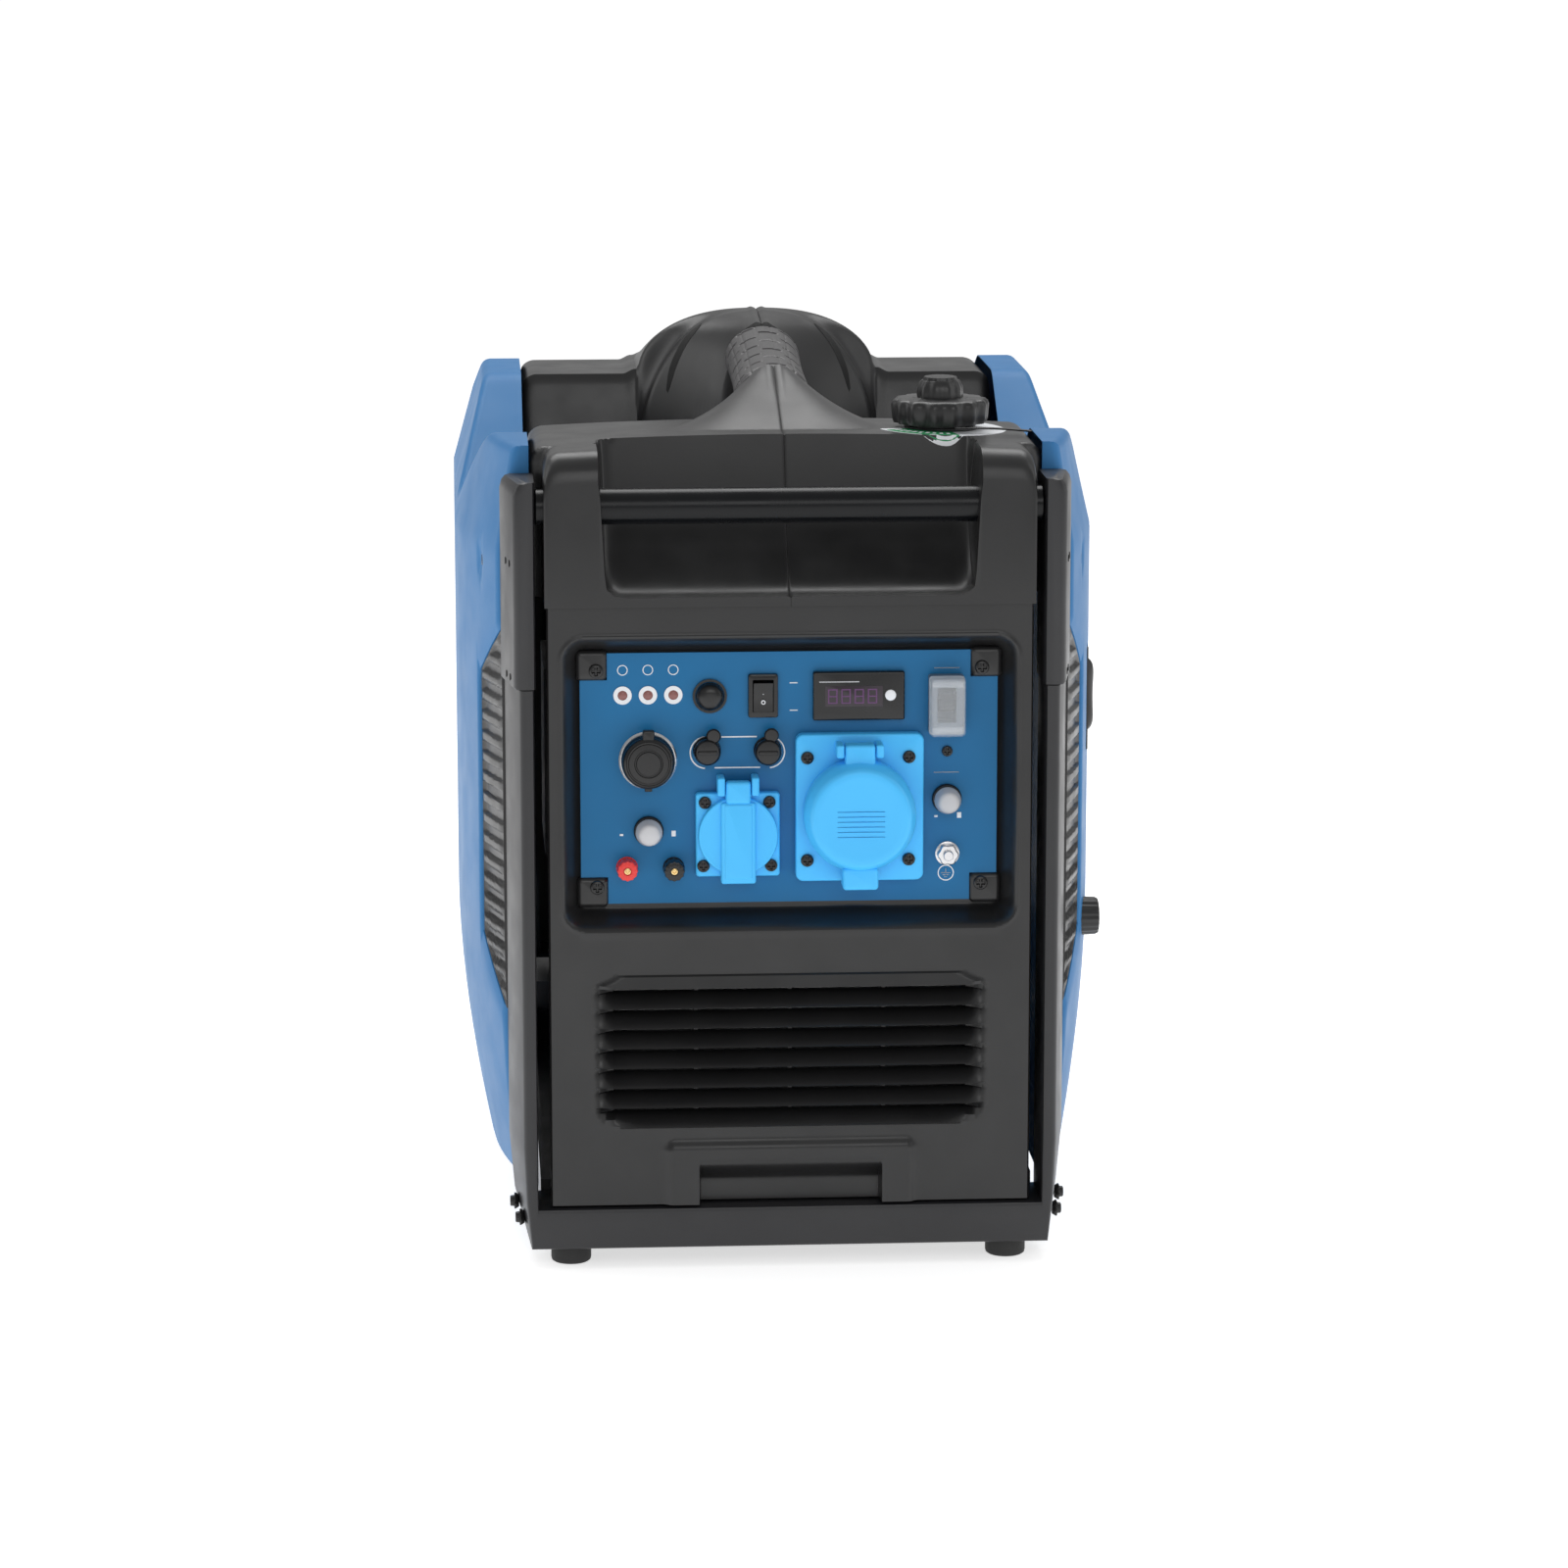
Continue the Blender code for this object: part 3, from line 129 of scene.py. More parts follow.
softbox("key", (-2.4, 0.2, 1.5), (0, 0, 0.3), 1.2, 2.4, 13)
softbox("fill", (2.2, -0.4, 1.4), (0, 0, 0.3), 1.0, 2.2, 7)
softbox("top", (0.0, 0.9, 2.2), (0, 0, 0.3), 2.4, 1.2, 32)
softbox("front", (0.2, -3.0, 1.7), (0, 0, 0.3), 2.0, 1.0, 12)


def tidy_faces(piece, angle=35.0):
    """Doubles merged, faces turned outwards, smooth shading with sharp corners kept."""
    work = bmesh.new()
    work.from_mesh(piece.data)
    bmesh.ops.remove_doubles(work, verts=work.verts, dist=0.000005)
    bmesh.ops.recalc_face_normals(work, faces=work.faces)
    if work.calc_volume(signed=True) < 0:
        bmesh.ops.reverse_faces(work, faces=work.faces)
    work.to_mesh(piece.data)
    work.free()
    piece.data.shade_smooth()
    piece.data.set_sharp_from_angle(angle=math.radians(angle))


def meshed(name, points, faces, material, angle=35.0):
    """Object with one material made from its points and faces."""
    mesh = bpy.data.meshes.new(name)
    mesh.from_pydata(points, [], faces)
    mesh.materials.append(material)
    piece = stand(name, mesh)
    tidy_faces(piece, angle)
    return piece


def surface(name, grids, material, closed=(False, False), caps=()):
    """Mesh from grids of points (rows x columns x 3); closed wraps rows or columns.

    caps lists (grid index, row) whose ring of points is filled by one face.
    """
    points = []
    faces = []
    base = 0
    starts = []
    for grid in grids:
        rows, cols = grid.shape[:2]
        r = np.arange(rows if closed[0] else rows - 1)
        c = np.arange(cols if closed[1] else cols - 1)
        r0, c0 = np.meshgrid(r, c, indexing="ij")
        r1, c1 = (r0 + 1) % rows, (c0 + 1) % cols
        quads = np.stack([r0 * cols + c0, r0 * cols + c1, r1 * cols + c1, r1 * cols + c0], -1)
        faces.extend((quads.reshape(-1, 4) + base).tolist())
        points.append(grid.reshape(-1, 3))
        starts.append((base, rows, cols))
        base += rows * cols
    for index, row in caps:
        start, rows, cols = starts[index]
        ring = start + (row % rows) * cols + np.arange(cols)
        faces.append(ring.tolist() if row == 0 else ring[::-1].tolist())
    return meshed(name, np.concatenate(points).tolist(), faces, material)


floor = surface("floor", [np.array([[(-30, -30, 0), (30, -30, 0)], [(-30, 60, 0), (30, 60, 0)]],
                                   float)], bpy.data.materials.new("floor_paint"))
floor.data.materials[0].use_nodes = True
floor_paint = floor.data.materials[0].node_tree.nodes["Principled BSDF"]
floor_paint.inputs["Base Color"].default_value = (0.93, 0.93, 0.93, 1)
floor_paint.inputs["Roughness"].default_value = 0.9
floor_paint.inputs["Emission Color"].default_value = (1, 1, 1, 1)
floor_paint.inputs["Emission Strength"].default_value = 0.62
floor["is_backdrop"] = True


# ---- Front frame -------------------------------------------------------------
# A U of bent and welded steel channel, powder coated, with moulded sleeves over
# the tops of its posts. Its outer faces splay outwards towards the rear.
def moulded(name, colour, rough, grain=900.0, depth=0.10, mottle=0.12, metal=0.0, coat=0.0,
            alpha=1.0, scratch=0.0, shine=0.5):
    """Principled finish with mottled colour, uneven gloss and a fine bump."""
    made = bpy.data.materials.new(name)
    made.use_nodes = True
    tree = made.node_tree
    shader = tree.nodes["Principled BSDF"]
    shader.inputs["Metallic"].default_value = metal
    shader.inputs["Coat Weight"].default_value = coat
    shader.inputs["Coat Roughness"].default_value = 0.15
    shader.inputs["Alpha"].default_value = alpha
    shader.inputs["Specular IOR Level"].default_value = shine
    place = tree.nodes.new("ShaderNodeTexCoord")

    def noise(scale, detail, stretch=(1, 1, 1)):
        turn = tree.nodes.new("ShaderNodeMapping")
        turn.inputs["Scale"].default_value = stretch
        tree.links.new(place.outputs["Object"], turn.inputs["Vector"])
        cloud = tree.nodes.new("ShaderNodeTexNoise")
        cloud.inputs["Scale"].default_value = scale
        cloud.inputs["Detail"].default_value = detail
        tree.links.new(turn.outputs["Vector"], cloud.inputs["Vector"])
        return cloud.outputs["Fac"]

    def spread(fac, low, high):
        remap = tree.nodes.new("ShaderNodeMapRange")
        remap.inputs["From Min"].default_value = 0.3
        remap.inputs["From Max"].default_value = 0.7
        remap.inputs["To Min"].default_value = low
        remap.inputs["To Max"].default_value = high
        tree.links.new(fac, remap.inputs["Value"])
        return remap.outputs["Result"]

    blend = tree.nodes.new("ShaderNodeMix")
    blend.data_type = "RGBA"
    blend.inputs["A"].default_value = (*[c * (1 - mottle) for c in colour], 1)
    blend.inputs["B"].default_value = (*[min(1, c * (1 + mottle)) for c in colour], 1)
    tree.links.new(spread(noise(14.0, 5.0), 0.0, 1.0), blend.inputs["Factor"])
    tree.links.new(blend.outputs["Result"], shader.inputs["Base Color"])
    tree.links.new(spread(noise(35.0, 4.0), rough - 0.05, rough + 0.06),
                   shader.inputs["Roughness"])
    bump = tree.nodes.new("ShaderNodeBump")
    bump.inputs["Strength"].default_value = depth
    bump.inputs["Distance"].default_value = 0.0003
    tree.links.new(noise(grain, 2.0), bump.inputs["Height"])
    if scratch:
        lines = tree.nodes.new("ShaderNodeBump")
        lines.inputs["Strength"].default_value = scratch
        lines.inputs["Distance"].default_value = 0.0002
        tree.links.new(noise(60.0, 3.0, (1, 14, 14)), lines.inputs["Height"])
        tree.links.new(bump.outputs["Normal"], lines.inputs["Normal"])
        bump = lines
    tree.links.new(bump.outputs["Normal"], shader.inputs["Normal"])
    return made


def settle(piece, body, slot, *nodes):
    """The piece rides on its body and stands for its nodes, which are hidden; slot is not used."""
    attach(piece, body)
    if nodes:
        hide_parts(*nodes)
    return piece


def at(x, d, z):
    """Points at x and z, d behind the front face, with all three spread to one shape."""
    return np.stack(np.broadcast_arrays(x, face_y + d, z), -1)


def around(count):
    """Angles of a full turn, without its last."""
    return np.linspace(0, 2 * math.pi, count, endpoint=False)


def capped(name, rings, material):
    """Skin over a row of rings, with a flat cap on each end."""
    return surface(name, [np.array(rings)], material, (False, True), ((0, 0), (0, -1)))


frame_coat = moulded("frame_coat", (0.0160, 0.0160, 0.0180), 0.36, grain=700.0, depth=0.14)
# Near-black finish for the thin discs and strips set where holes and slots are: their darkness is
# painted shade standing in for the dark insides.
deep_black = moulded("deep_black", (0.004, 0.004, 0.004), 0.75)
post_in = -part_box("post_sleeve_left")[1][0] + 0.001
post_depth = 0.044
sill_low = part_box("front_frame")[0][2]


def frame_section(path_in, path_out, round_off=0.0025):
    """Channel section between an inner and an outer corner path, with eased edges.

    Each path gives (x, z) of its front edge and of its rear edge.
    """
    (xi, zi), (xo, zo), (xb, zb) = path_in, path_out[0], path_out[1]
    e = round_off
    corner = [(xi, e, zi), (xi, post_depth, zi), (xb, post_depth, zb)]
    ux, uz = xi - xo, zi - zo
    reach = math.hypot(ux, uz)
    ux, uz = ux / reach * e, uz / reach * e
    bx, bz = (xb - xo) / post_depth * e, (zb - zo) / post_depth * e
    corner += [(xo + bx, e, zo + bz), (xo + ux * 0.3, e * 0.3, zo + uz * 0.3),
               (xo + ux, 0.0, zo + uz), (xi - ux, 0.0, zi - uz), (xi - ux * 0.3, e * 0.3,
                                                                  zi - uz * 0.3)]
    return np.array([(x, face_y + d, z) for x, d, z in corner])


def frame_ring(side, z_in, z_out, shrink=0.0):
    """Section of the frame with its inner corner at z_in and its outer corners at z_out."""
    return frame_section((side * post_in, z_in), ((side * (0.158 - shrink), z_out),
                                 (side * (0.1666 - shrink * 2.5), z_out)))


stations = [(0.3497, 0.3497, 0.0), (0.200, 0.200, 0.0), (0.075, 0.075, 0.0),
            (0.050, 0.040, 0.0012), (0.037, sill_low, 0.004)]
rings = [frame_ring(-1, a, b, c) for a, b, c in stations]
rings += [frame_ring(1, a, b, c) for a, b, c in stations[::-1]]
settle(capped("frame_channel", rings, frame_coat),
       "case", "frame_black", "front_frame")

for word, side in (("left", -1), ("right", 1)):
    sleeve = []
    for z, shrink in ((0.3503, 0.001), (0.3515, 0.0), (0.4640, 0.0), (0.4685, 0.0012),
                      (0.4710, 0.0032), (0.4718, 0.0060)):
        section = frame_section((side * (post_in - 0.001), z), ((side * (0.1612 - shrink), z),
                                                                (side * (0.1686 - shrink), z)),
                                0.003)
        sleeve.append(section)
    settle(capped("sleeve_" + word, sleeve, frame_coat), "case", "frame_black",
           "post_sleeve_" + word)
    # Two holes on each sleeve, each drawn as a small black disc on the sleeve face: painted shade
    # standing in for the dark inside of the hole.
    for z in (0.3560, 0.4230):
        for d in (0.014, 0.026):
            x = side * (0.1612 + 0.0074 * d / post_depth + 0.0001)
            a = around(16)
            hole = [at(x + side * push, d + r * np.cos(a), z + r * np.sin(a))
                    for r, push in ((0.0021, -0.0008), (0.0021, 0.0002), (0.0012, 0.0003))]
            settle(surface("sleeve_hole_%s_%d_%d" % (word, z * 1000, d * 1000), [np.array(hole)],
                           deep_black, (False, True), ((0, 0), (0, -1))), "case", "frame_black")

# ---- Pull bar ----------------------------------------------------------------
# A steel tube with a thin black coating. It passes through both cheeks of the top
# cover and is fixed in the sleeves, so it does not slide.
def placed(box):
    """Middle of a packed box, as x, depth and z, and its half sizes."""
    low, high = np.array(box)
    return (low + high) / 2 - (0, face_y, 0), (high - low) / 2


bar_coat = moulded("bar_coat", (0.0030, 0.0035, 0.0045), 0.25, grain=500.0, depth=0.05, shine=0.25)
(bar_x, bar_d, bar_z), (bar_half, _, bar_r) = placed(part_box("pull_bar"))
a = around(40)
chamfer = 0.001
tube = [at(x, bar_d + r * np.cos(a), bar_z + r * np.sin(a))
        for x, r in ((bar_x - bar_half, bar_r - chamfer), (bar_x - bar_half + chamfer, bar_r),
                     (-0.11, bar_r), (0.11, bar_r), (bar_x + bar_half - chamfer, bar_r),
                     (bar_x + bar_half, bar_r - chamfer))]
settle(capped("pull_tube", tube, bar_coat), "case", "steel", "pull_bar")

# ---- Top cover ---------------------------------------------------------------
# Two mouldings that meet in a seam along the middle: the scoop behind the bar, the
# crest that carries the filler, the flares that hold the grip, and the rear ridge.
def shell(name, outer, inner, keep, material, angle=35.0):
    """Closed shell between two grids of points; keep marks the cells that are solid.

    Every edge where solid meets nothing gets a wall between the two skins.
    """
    rows, cols = outer.shape[:2]
    r, c = np.meshgrid(np.arange(rows - 1), np.arange(cols - 1), indexing="ij")
    quads = np.stack([r * cols + c, r * cols + c + 1, (r + 1) * cols + c + 1, (r + 1) * cols + c],
                     -1)
    quads = quads[keep].reshape(-1, 4)
    count = rows * cols
    edges = np.stack([quads, np.roll(quads, -1, 1)], -1).reshape(-1, 2)
    key = np.sort(edges, 1)
    _, where, times = np.unique(key, axis=0, return_inverse=True, return_counts=True)
    rim = edges[times[where.reshape(-1)] == 1]
    walls = np.stack([rim[:, 1], rim[:, 0], rim[:, 0] + count, rim[:, 1] + count], -1)
    faces = np.concatenate([quads, quads[:, ::-1] + count, walls])
    used = np.unique(faces)
    new = np.zeros(count * 2, int)
    new[used] = np.arange(len(used))
    points = np.concatenate([outer.reshape(-1, 3), inner.reshape(-1, 3)])[used]
    return meshed(name, points.tolist(), new[faces].tolist(), material, angle)


def lines(*spans):
    """Grid lines: each span is (start, end, count); doubles are dropped."""
    every = np.concatenate([np.linspace(a, b, n) for a, b, n in spans])
    return np.unique(np.round(every, 6))


def smooth(a, b, value):
    """Smooth step from 0 at a to 1 at b."""
    t = np.clip((value - a) / (b - a), 0.0, 1.0)
    return t * t * (3 - 2 * t)


case_black = moulded("case_black", (0.0125, 0.0125, 0.0130), 0.33, grain=600.0, depth=0.10)
scoop_half, scoop_depth, scoop_floor = 0.110, 0.066, 0.404
crest_z, ridge_z, deck_z, handle_top = 0.487, 0.495, 0.447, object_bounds()[1][2]
grip_front, grip_back = 0.168, 0.286
cheek_half, top_half = 0.1435, 0.151


def crest(x):
    """Height of the crest, a little lower towards its ends."""
    return crest_z + 0.004 * (1 - (x / top_half) ** 2)


def trough(x, d):
    """Crest, trough and rear ridge with rounded front and rear edges."""
    ridge = ridge_z + 0.003 * smooth(0.086, 0.078, abs(x))
    z = crest(x) + (deck_z - crest(x)) * smooth(0.142, 0.205, d)
    z = z + (ridge - deck_z) * smooth(0.334, 0.350, d)
    z = z - (ridge - 0.442) * smooth(0.425, 0.595, d)
    edge = 0.018
    into = np.clip(np.minimum(d, length - d), 0, edge)
    return z - (edge - np.sqrt(edge ** 2 - (edge - into) ** 2))


def scoop(x, d):
    """Hand recess: a floor behind the lip that curves up to the crest."""
    rise = np.clip((d - 0.012) / (scoop_depth - 0.012), 0, 1) ** 1.6
    z = scoop_floor + (crest(x) - scoop_floor) * rise
    radius = 0.013
    over = np.clip(abs(x) - (scoop_half - radius), 0, radius)
    return z + radius - np.sqrt(radius ** 2 - over ** 2)


def front_flare(x, d):
    """Horn that rises from the crest and narrows to the grip."""
    t = np.clip((d - 0.084) / (grip_front - 0.084), 0, 1)
    half = 0.085 - 0.059 * t ** 0.9
    top = crest(0) + (0.5205 - crest(0)) * t
    base = np.minimum(trough(x, d), crest_z - 0.004)
    return base + (top - base) * np.exp(-(abs(x) / half) ** 3)


def rear_flare(x, d):
    """Dome behind the grip that widens into the ridge."""
    t = np.clip((d - grip_back) / 0.044, 0, 1)
    half = 0.026 + 0.050 * t ** 1.2
    base = trough(x, d)
    top = handle_top - 0.004 * (1 - t)
    top = top + (base - top) * smooth(0.345, 0.460, d)
    inside = np.clip(1 - (abs(x) / half) ** 2.4, 0, 1)
    face = smooth(grip_back - 0.001, grip_back + 0.0035 + 0.016 * smooth(0.022, 0.045, abs(x)), d)
    return base + np.maximum(0, top - base) * inside ** 0.55 * face


def top_surface(x, d):
    """Height of the top cover, with the seam groove and its two raised beads."""
    z = trough(x, d)
    z = np.where((d > 0.080) & (d < grip_front), np.maximum(z, front_flare(x, d)), z)
    z = np.where(d > grip_back, np.maximum(z, rear_flare(x, d)), z)
    wall = smooth(scoop_half - 0.0025, scoop_half + 0.0020, abs(x))
    inside = np.minimum(scoop(x, d), z)
    z = np.where(d < scoop_depth + 0.001, inside + (z - inside) * wall, z)
    bead = np.exp(-((abs(x) - 0.0035) / 0.0016) ** 2) * 0.0008 * smooth(0.110, 0.150, d)
    groove = np.exp(-(abs(x) / 0.0007) ** 2) * 0.0009
    return z + bead * (d < grip_back + 0.1) - groove


def top_half_at(d):
    """Half width of the top cover: it steps out behind the cheeks."""
    return cheek_half + (top_half - cheek_half) * smooth(0.043, 0.048, d)


def bordered(grid, rim):
    """Grid with its front, rear and outer edges carried straight down to the parting line."""
    grid = np.concatenate([grid[:1], grid, grid[-1:]])
    grid = np.concatenate([grid, grid[:, -1:]], 1)
    grid[0, :, 2] = rim
    grid[-1, :, 2] = rim
    grid[:, -1, 2] = rim
    return grid


cap_x, cap_d, neck_r = 0.096, 0.103, 0.0200
parting_z, shoulder, wall = 0.3983, 0.010, 0.003
top_x = lines((0, 0.012, 13), (0.012, 0.070, 25), (0.070, 0.100, 22), (0.096, 0.106, 10),
              (0.1065, 0.1130, 12), (0.1130, 0.1260, 12), (0.1280, 0.1340, 3),
              (0.1340, top_half, 12))
top_d = lines((0, 0.020, 14), (0.020, 0.064, 24), (0.064, 0.068, 5), (0.070, 0.130, 42),
              (0.132, 0.160, 13), (0.160, 0.172, 16), (0.175, 0.280, 28), (0.2845, 0.3060, 30),
              (0.308, 0.356, 30), (0.360, 0.556, 40), (0.557, length, 14))
for word, side in (("left", -1), ("right", 1)):
    d, share = np.meshgrid(top_d, top_x / top_half, indexing="ij")
    x = np.maximum(share * top_half_at(d), 0.0001)
    if side > 0:
        off = np.hypot(x - cap_x, d - cap_d)
        pull = np.where(abs(off - neck_r) < 0.0010, neck_r / np.maximum(off, 1e-4), 1.0)
        x, d = cap_x + (x - cap_x) * pull, cap_d + (d - cap_d) * pull
    over = np.clip(x - (top_half_at(d) - shoulder), 0, shoulder)
    z = top_surface(x, d) - (shoulder - np.sqrt(shoulder ** 2 - over ** 2)) * 0.9
    deep = z.copy()
    for axis in (0, 1):
        for step in (-2, -1, 1, 2):
            deep = np.minimum(deep, np.roll(z, step, axis))
    outer = bordered(at(side * x, d, z), parting_z)
    inner = bordered(at(side * np.minimum(x, top_half_at(d) - wall),
                        np.clip(d, wall, length - wall), deep - wall), parting_z)
    middle_x = (abs(outer[1:, 1:, 0]) + abs(outer[:-1, :-1, 0])) / 2
    middle_d = (outer[1:, 1:, 1] + outer[:-1, :-1, 1]) / 2 - face_y
    kept = (np.hypot(middle_x - cap_x, middle_d - cap_d) > neck_r) | (side < 0)
    settle(shell("top_half_" + word, outer, inner, kept, case_black), "case", "black_plastic",
           "top_cover_" + word)


# ---- Front cover -------------------------------------------------------------
# One tall moulding: a recess with sloping walls for the panel, seven louvred slots
# with three mullions behind them, and a raised pad round the hand notch at the foot.
louvre_pitch, cover_half = 0.01204, 0.1425
edges_z = 0.1705 - louvre_pitch * np.arange(8)
half_x = lines((0, 0.0012, 2), (0.0040, 0.0480, 8), (0.0530, 0.0538, 2), (0.0545, 0.0569, 4),
               (0.0574, 0.0690, 5), (0.0695, 0.0735, 5), (0.0760, 0.0980, 6), (0.1010, 0.1210, 22),
               (0.1215, 0.1385, 20), (0.1395, cover_half, 4))
cover_x = np.unique(np.concatenate([-half_x, half_x]))
slat_z = np.concatenate([edges_z[k] - louvre_pitch * np.array([0, 0.03, 0.30, 0.33, 0.65, 0.96])
                         for k in range(7)])
cover_z = np.unique(np.round(np.concatenate([slat_z, edges_z[7:], lines(
    (0.0385, 0.0420, 4), (0.0435, 0.0685, 17), (0.0700, 0.0800, 9), (0.0815, 0.0850, 3),
    (0.1725, 0.1795, 8), (0.184, 0.203, 6), (0.2035, 0.2340, 36), (0.240, 0.348, 14),
    (0.3545, 0.3845, 34), (0.3875, 0.3978, 7))]), 6))
X, Z = np.meshgrid(cover_x, cover_z, indexing="xy")


def rounded_box_distance(x, z, half, low, high, radius):
    """Distance outside a rounded rectangle (negative inside)."""
    qx = abs(x) - (half - radius)
    qz = abs(z - (low + high) / 2) - ((high - low) / 2 - radius)
    return (np.hypot(np.maximum(qx, 0),
                     np.maximum(qz, 0)) + np.minimum(np.maximum(qx, qz), 0) - radius)


def cover_depth(x, z):
    """How far each point of the front cover lies behind its foremost plane."""
    d = np.full(x.shape, 0.0030)
    inside = -rounded_box_distance(x, z, 0.134, 0.205, 0.380, 0.014)
    bead = 0.0008 * np.exp(-((inside + 0.0006) / 0.0009) ** 2)
    d = d + 0.0174 * smooth(0.0, 0.0110, inside) - bead
    below = (edges_z[0] - z) / louvre_pitch
    u = below - np.floor(below)
    tooth = np.where(u < 0.31, 0.0118, 0.0100 * (1 - (u - 0.31) / 0.69))
    tooth = np.where(u < 0.01, 0.0, tooth)
    reach = smooth(0.1175, 0.1045, abs(x) + 0.012 * smooth(0.098, 0.084, z))
    field = (z <= edges_z[0] + 1e-5) & (z >= edges_z[7] - 1e-5)
    d = np.where(field, d + (tooth - 0.0030) * reach, d)
    lip_reach = smooth(0.1175, 0.1115, abs(x) + 0.012 * smooth(0.1705, 0.1780, z))
    lip = (z > edges_z[0]) & (z < 0.1778)
    d = np.where(lip, d + lip_reach * (0.0016 * (z - edges_z[0]) / 0.0073 - 0.0030), d)
    pad_in = smooth(0.0785, 0.0725, z) * smooth(0.0755, 0.0705,
                                                abs(x) + 0.4 * np.maximum(0, z - 0.0715))
    d = d - 0.0030 * pad_in
    d = d + 0.0120 * smooth(0.0660, 0.0500, z) * smooth(0.0545, 0.0530, abs(x))
    rim_r = 0.0016
    rim = np.clip(rim_r - (cover_half - abs(x)), 0, rim_r)
    return d + rim_r - np.sqrt(rim_r ** 2 - rim ** 2)


def cell_keep(x, z):
    """Solid cells: all but the louvre gaps and the window behind the panel."""
    mx = (x[1:, 1:] + x[:-1, :-1]) / 2
    mz = (z[1:, 1:] + z[:-1, :-1]) / 2
    below = (edges_z[0] - mz) / louvre_pitch
    u = below - np.floor(below)
    gap = (mz < edges_z[0]) & (mz > edges_z[7]) & (u > 0.03) & (u < 0.30)
    gap &= abs(mx) < np.where(mz < 0.0880, 0.0945, 0.1045)
    gap &= (abs(mx) > 0.0012) & (abs(abs(mx) - 0.0557) > 0.0012)
    window = (abs(mx) < 0.118) & (mz > 0.2270) & (mz < 0.3600)
    return ~(gap | window)


D = cover_depth(X, Z)
outer = at(X, D, Z)
inner = at(X, np.maximum(D + 0.0028, 0.0145), Z)
settle(shell("cover_front", outer, inner, cell_keep(X, Z), case_black), "case", "black_plastic",
       "front_cover")

# ---- Panel corners and markings ----------------------------------------------
# The blue plate is notched at its corners for black moulded bosses, each holding it
# with one cross-head screw. Lines, rings and lamp collars are printed on it.
switch_black = moulded("switch_black", (0.005, 0.005, 0.0055), 0.28, grain=1500.0, depth=0.05)
print_white = moulded("print_white", (0.80, 0.82, 0.85), 0.45, mottle=0.03)
panel_d = 0.018


def rect_outline(x0, x1, z0, z1, radius, steps=8, sides=6):
    """Rounded rectangle as one loop of (x, z): corner arcs joined by straight runs."""
    loop = []
    for cx, cz, start in ((x1 - radius, z1 - radius, 0), (x0 + radius, z1 - radius, 90),
                          (x0 + radius, z0 + radius, 180), (x1 - radius, z0 + radius, 270)):
        a = np.radians(start + np.linspace(0, 90, steps + 1))
        loop.append(np.stack([cx + radius * np.cos(a), cz + radius * np.sin(a)], -1))
    out = []
    for k in range(4):
        out.append(loop[k])
        p, q = loop[k][-1], loop[(k + 1) % 4][0]
        s = np.linspace(0, 1, sides + 2)[1:-1, None]
        out.append(p + (q - p) * s)
    return np.concatenate(out)


def facing(outline, d):
    """Outline of (x, z) set upright at a depth behind the front face."""
    return at(outline[:, 0], d, outline[:, 1])


def pad(name, outline_at, d_back, d_front, edge, material, body="case", slot="switch_black",
        nodes=(), bands=3):
    """Flat-backed moulding standing on the panel, with a rounded front edge.

    outline_at(inset) gives its outline, shrunk by inset at the rounded edge.
    """
    rings = [facing(outline_at(0.0), d_back)]
    for k in range(bands + 1):
        a = math.pi / 2 * k / bands
        rings.append(facing(outline_at(edge * (1 - math.cos(a))),
                            d_front + edge * (1 - math.sin(a))))
    piece = capped(name, rings, material)
    return settle(piece, body, slot, *nodes)


def about(centre, half):
    """Pair of limits on either side of a centre."""
    return centre - half, centre + half


def brick(name, xs, ds, zs, edge, material=switch_black, body="case", slot="switch_black",
          nodes=()):
    """Block facing forward with rounded corners and a rounded front edge."""
    return pad(name, lambda inset: rect_outline(xs[0] + inset, xs[1] - inset, zs[0] + inset,
                                                zs[1] - inset, max(0.0002, edge - inset)), ds[1],
               ds[0], edge, material, body, slot, nodes)


def lathe(name, profile, place, way, material=switch_black, body="case", slot="switch_black",
          nodes=(), steps=48, lobes=0, lobe=0.0, angle=35.0):
    """Turned piece: profile of (radius, distance out) about an axis that points outwards."""
    turn = around(steps)
    x, d, z = place
    rings = []
    for radius, out in profile:
        fluted = lobe if radius > 0.004 else 0.0
        r = radius * (1 + fluted * np.cos(lobes * turn))
        u, v = r * np.cos(turn), r * np.sin(turn)
        if way == "front":
            rings.append(at(x + u, d - out, z + v))
        elif way == "up":
            rings.append(at(x + u, d + v, z + out))
        else:
            side = -1 if way == "left" else 1
            rings.append(at(x + side * out, d + u, z + v))
    piece = capped(name, rings, material)
    tidy_faces(piece, angle)
    return settle(piece, body, slot, *nodes)


def dial(name, profile, x, z, *finish, **more):
    """Turned piece facing forward: profile of (radius, depth behind the front face)."""
    return lathe(name, [(radius, -d) for radius, d in profile], (x, 0.0, z), "front", *finish,
                 **more)


def cross_screw(name, x, z, d, radius, material=switch_black, body="case"):
    """Pan-head screw with a cross recess, pointing out of the panel."""
    a = around(48)
    slot_depth = 0.35 * radius
    rings = []
    for share, out in ((1.0, -0.30), (1.0, 0.25), (0.93, 0.42), (0.75, 0.52), (0.66, 0.54),
                       (0.58, 0.54), (0.35, 0.55), (0.20, 0.55), (0.02, 0.55)):
        arm = np.minimum(abs(np.cos(a)), abs(np.sin(a))) * share < 0.16
        dip = arm * (share < 0.60) * slot_depth
        r = radius * share
        rings.append(at(x + r * np.cos(a), d - out * radius + dip, z + r * np.sin(a)))
    piece = capped(name, rings, material)
    return settle(piece, body, "switch_black")


def mark(name, xs, zs, thick=0.00025, on=panel_d):
    """Printed bar standing a hair proud of the face it is on."""
    return brick(name, xs, (on - thick, on + 0.0002), zs, 0.0001, print_white)


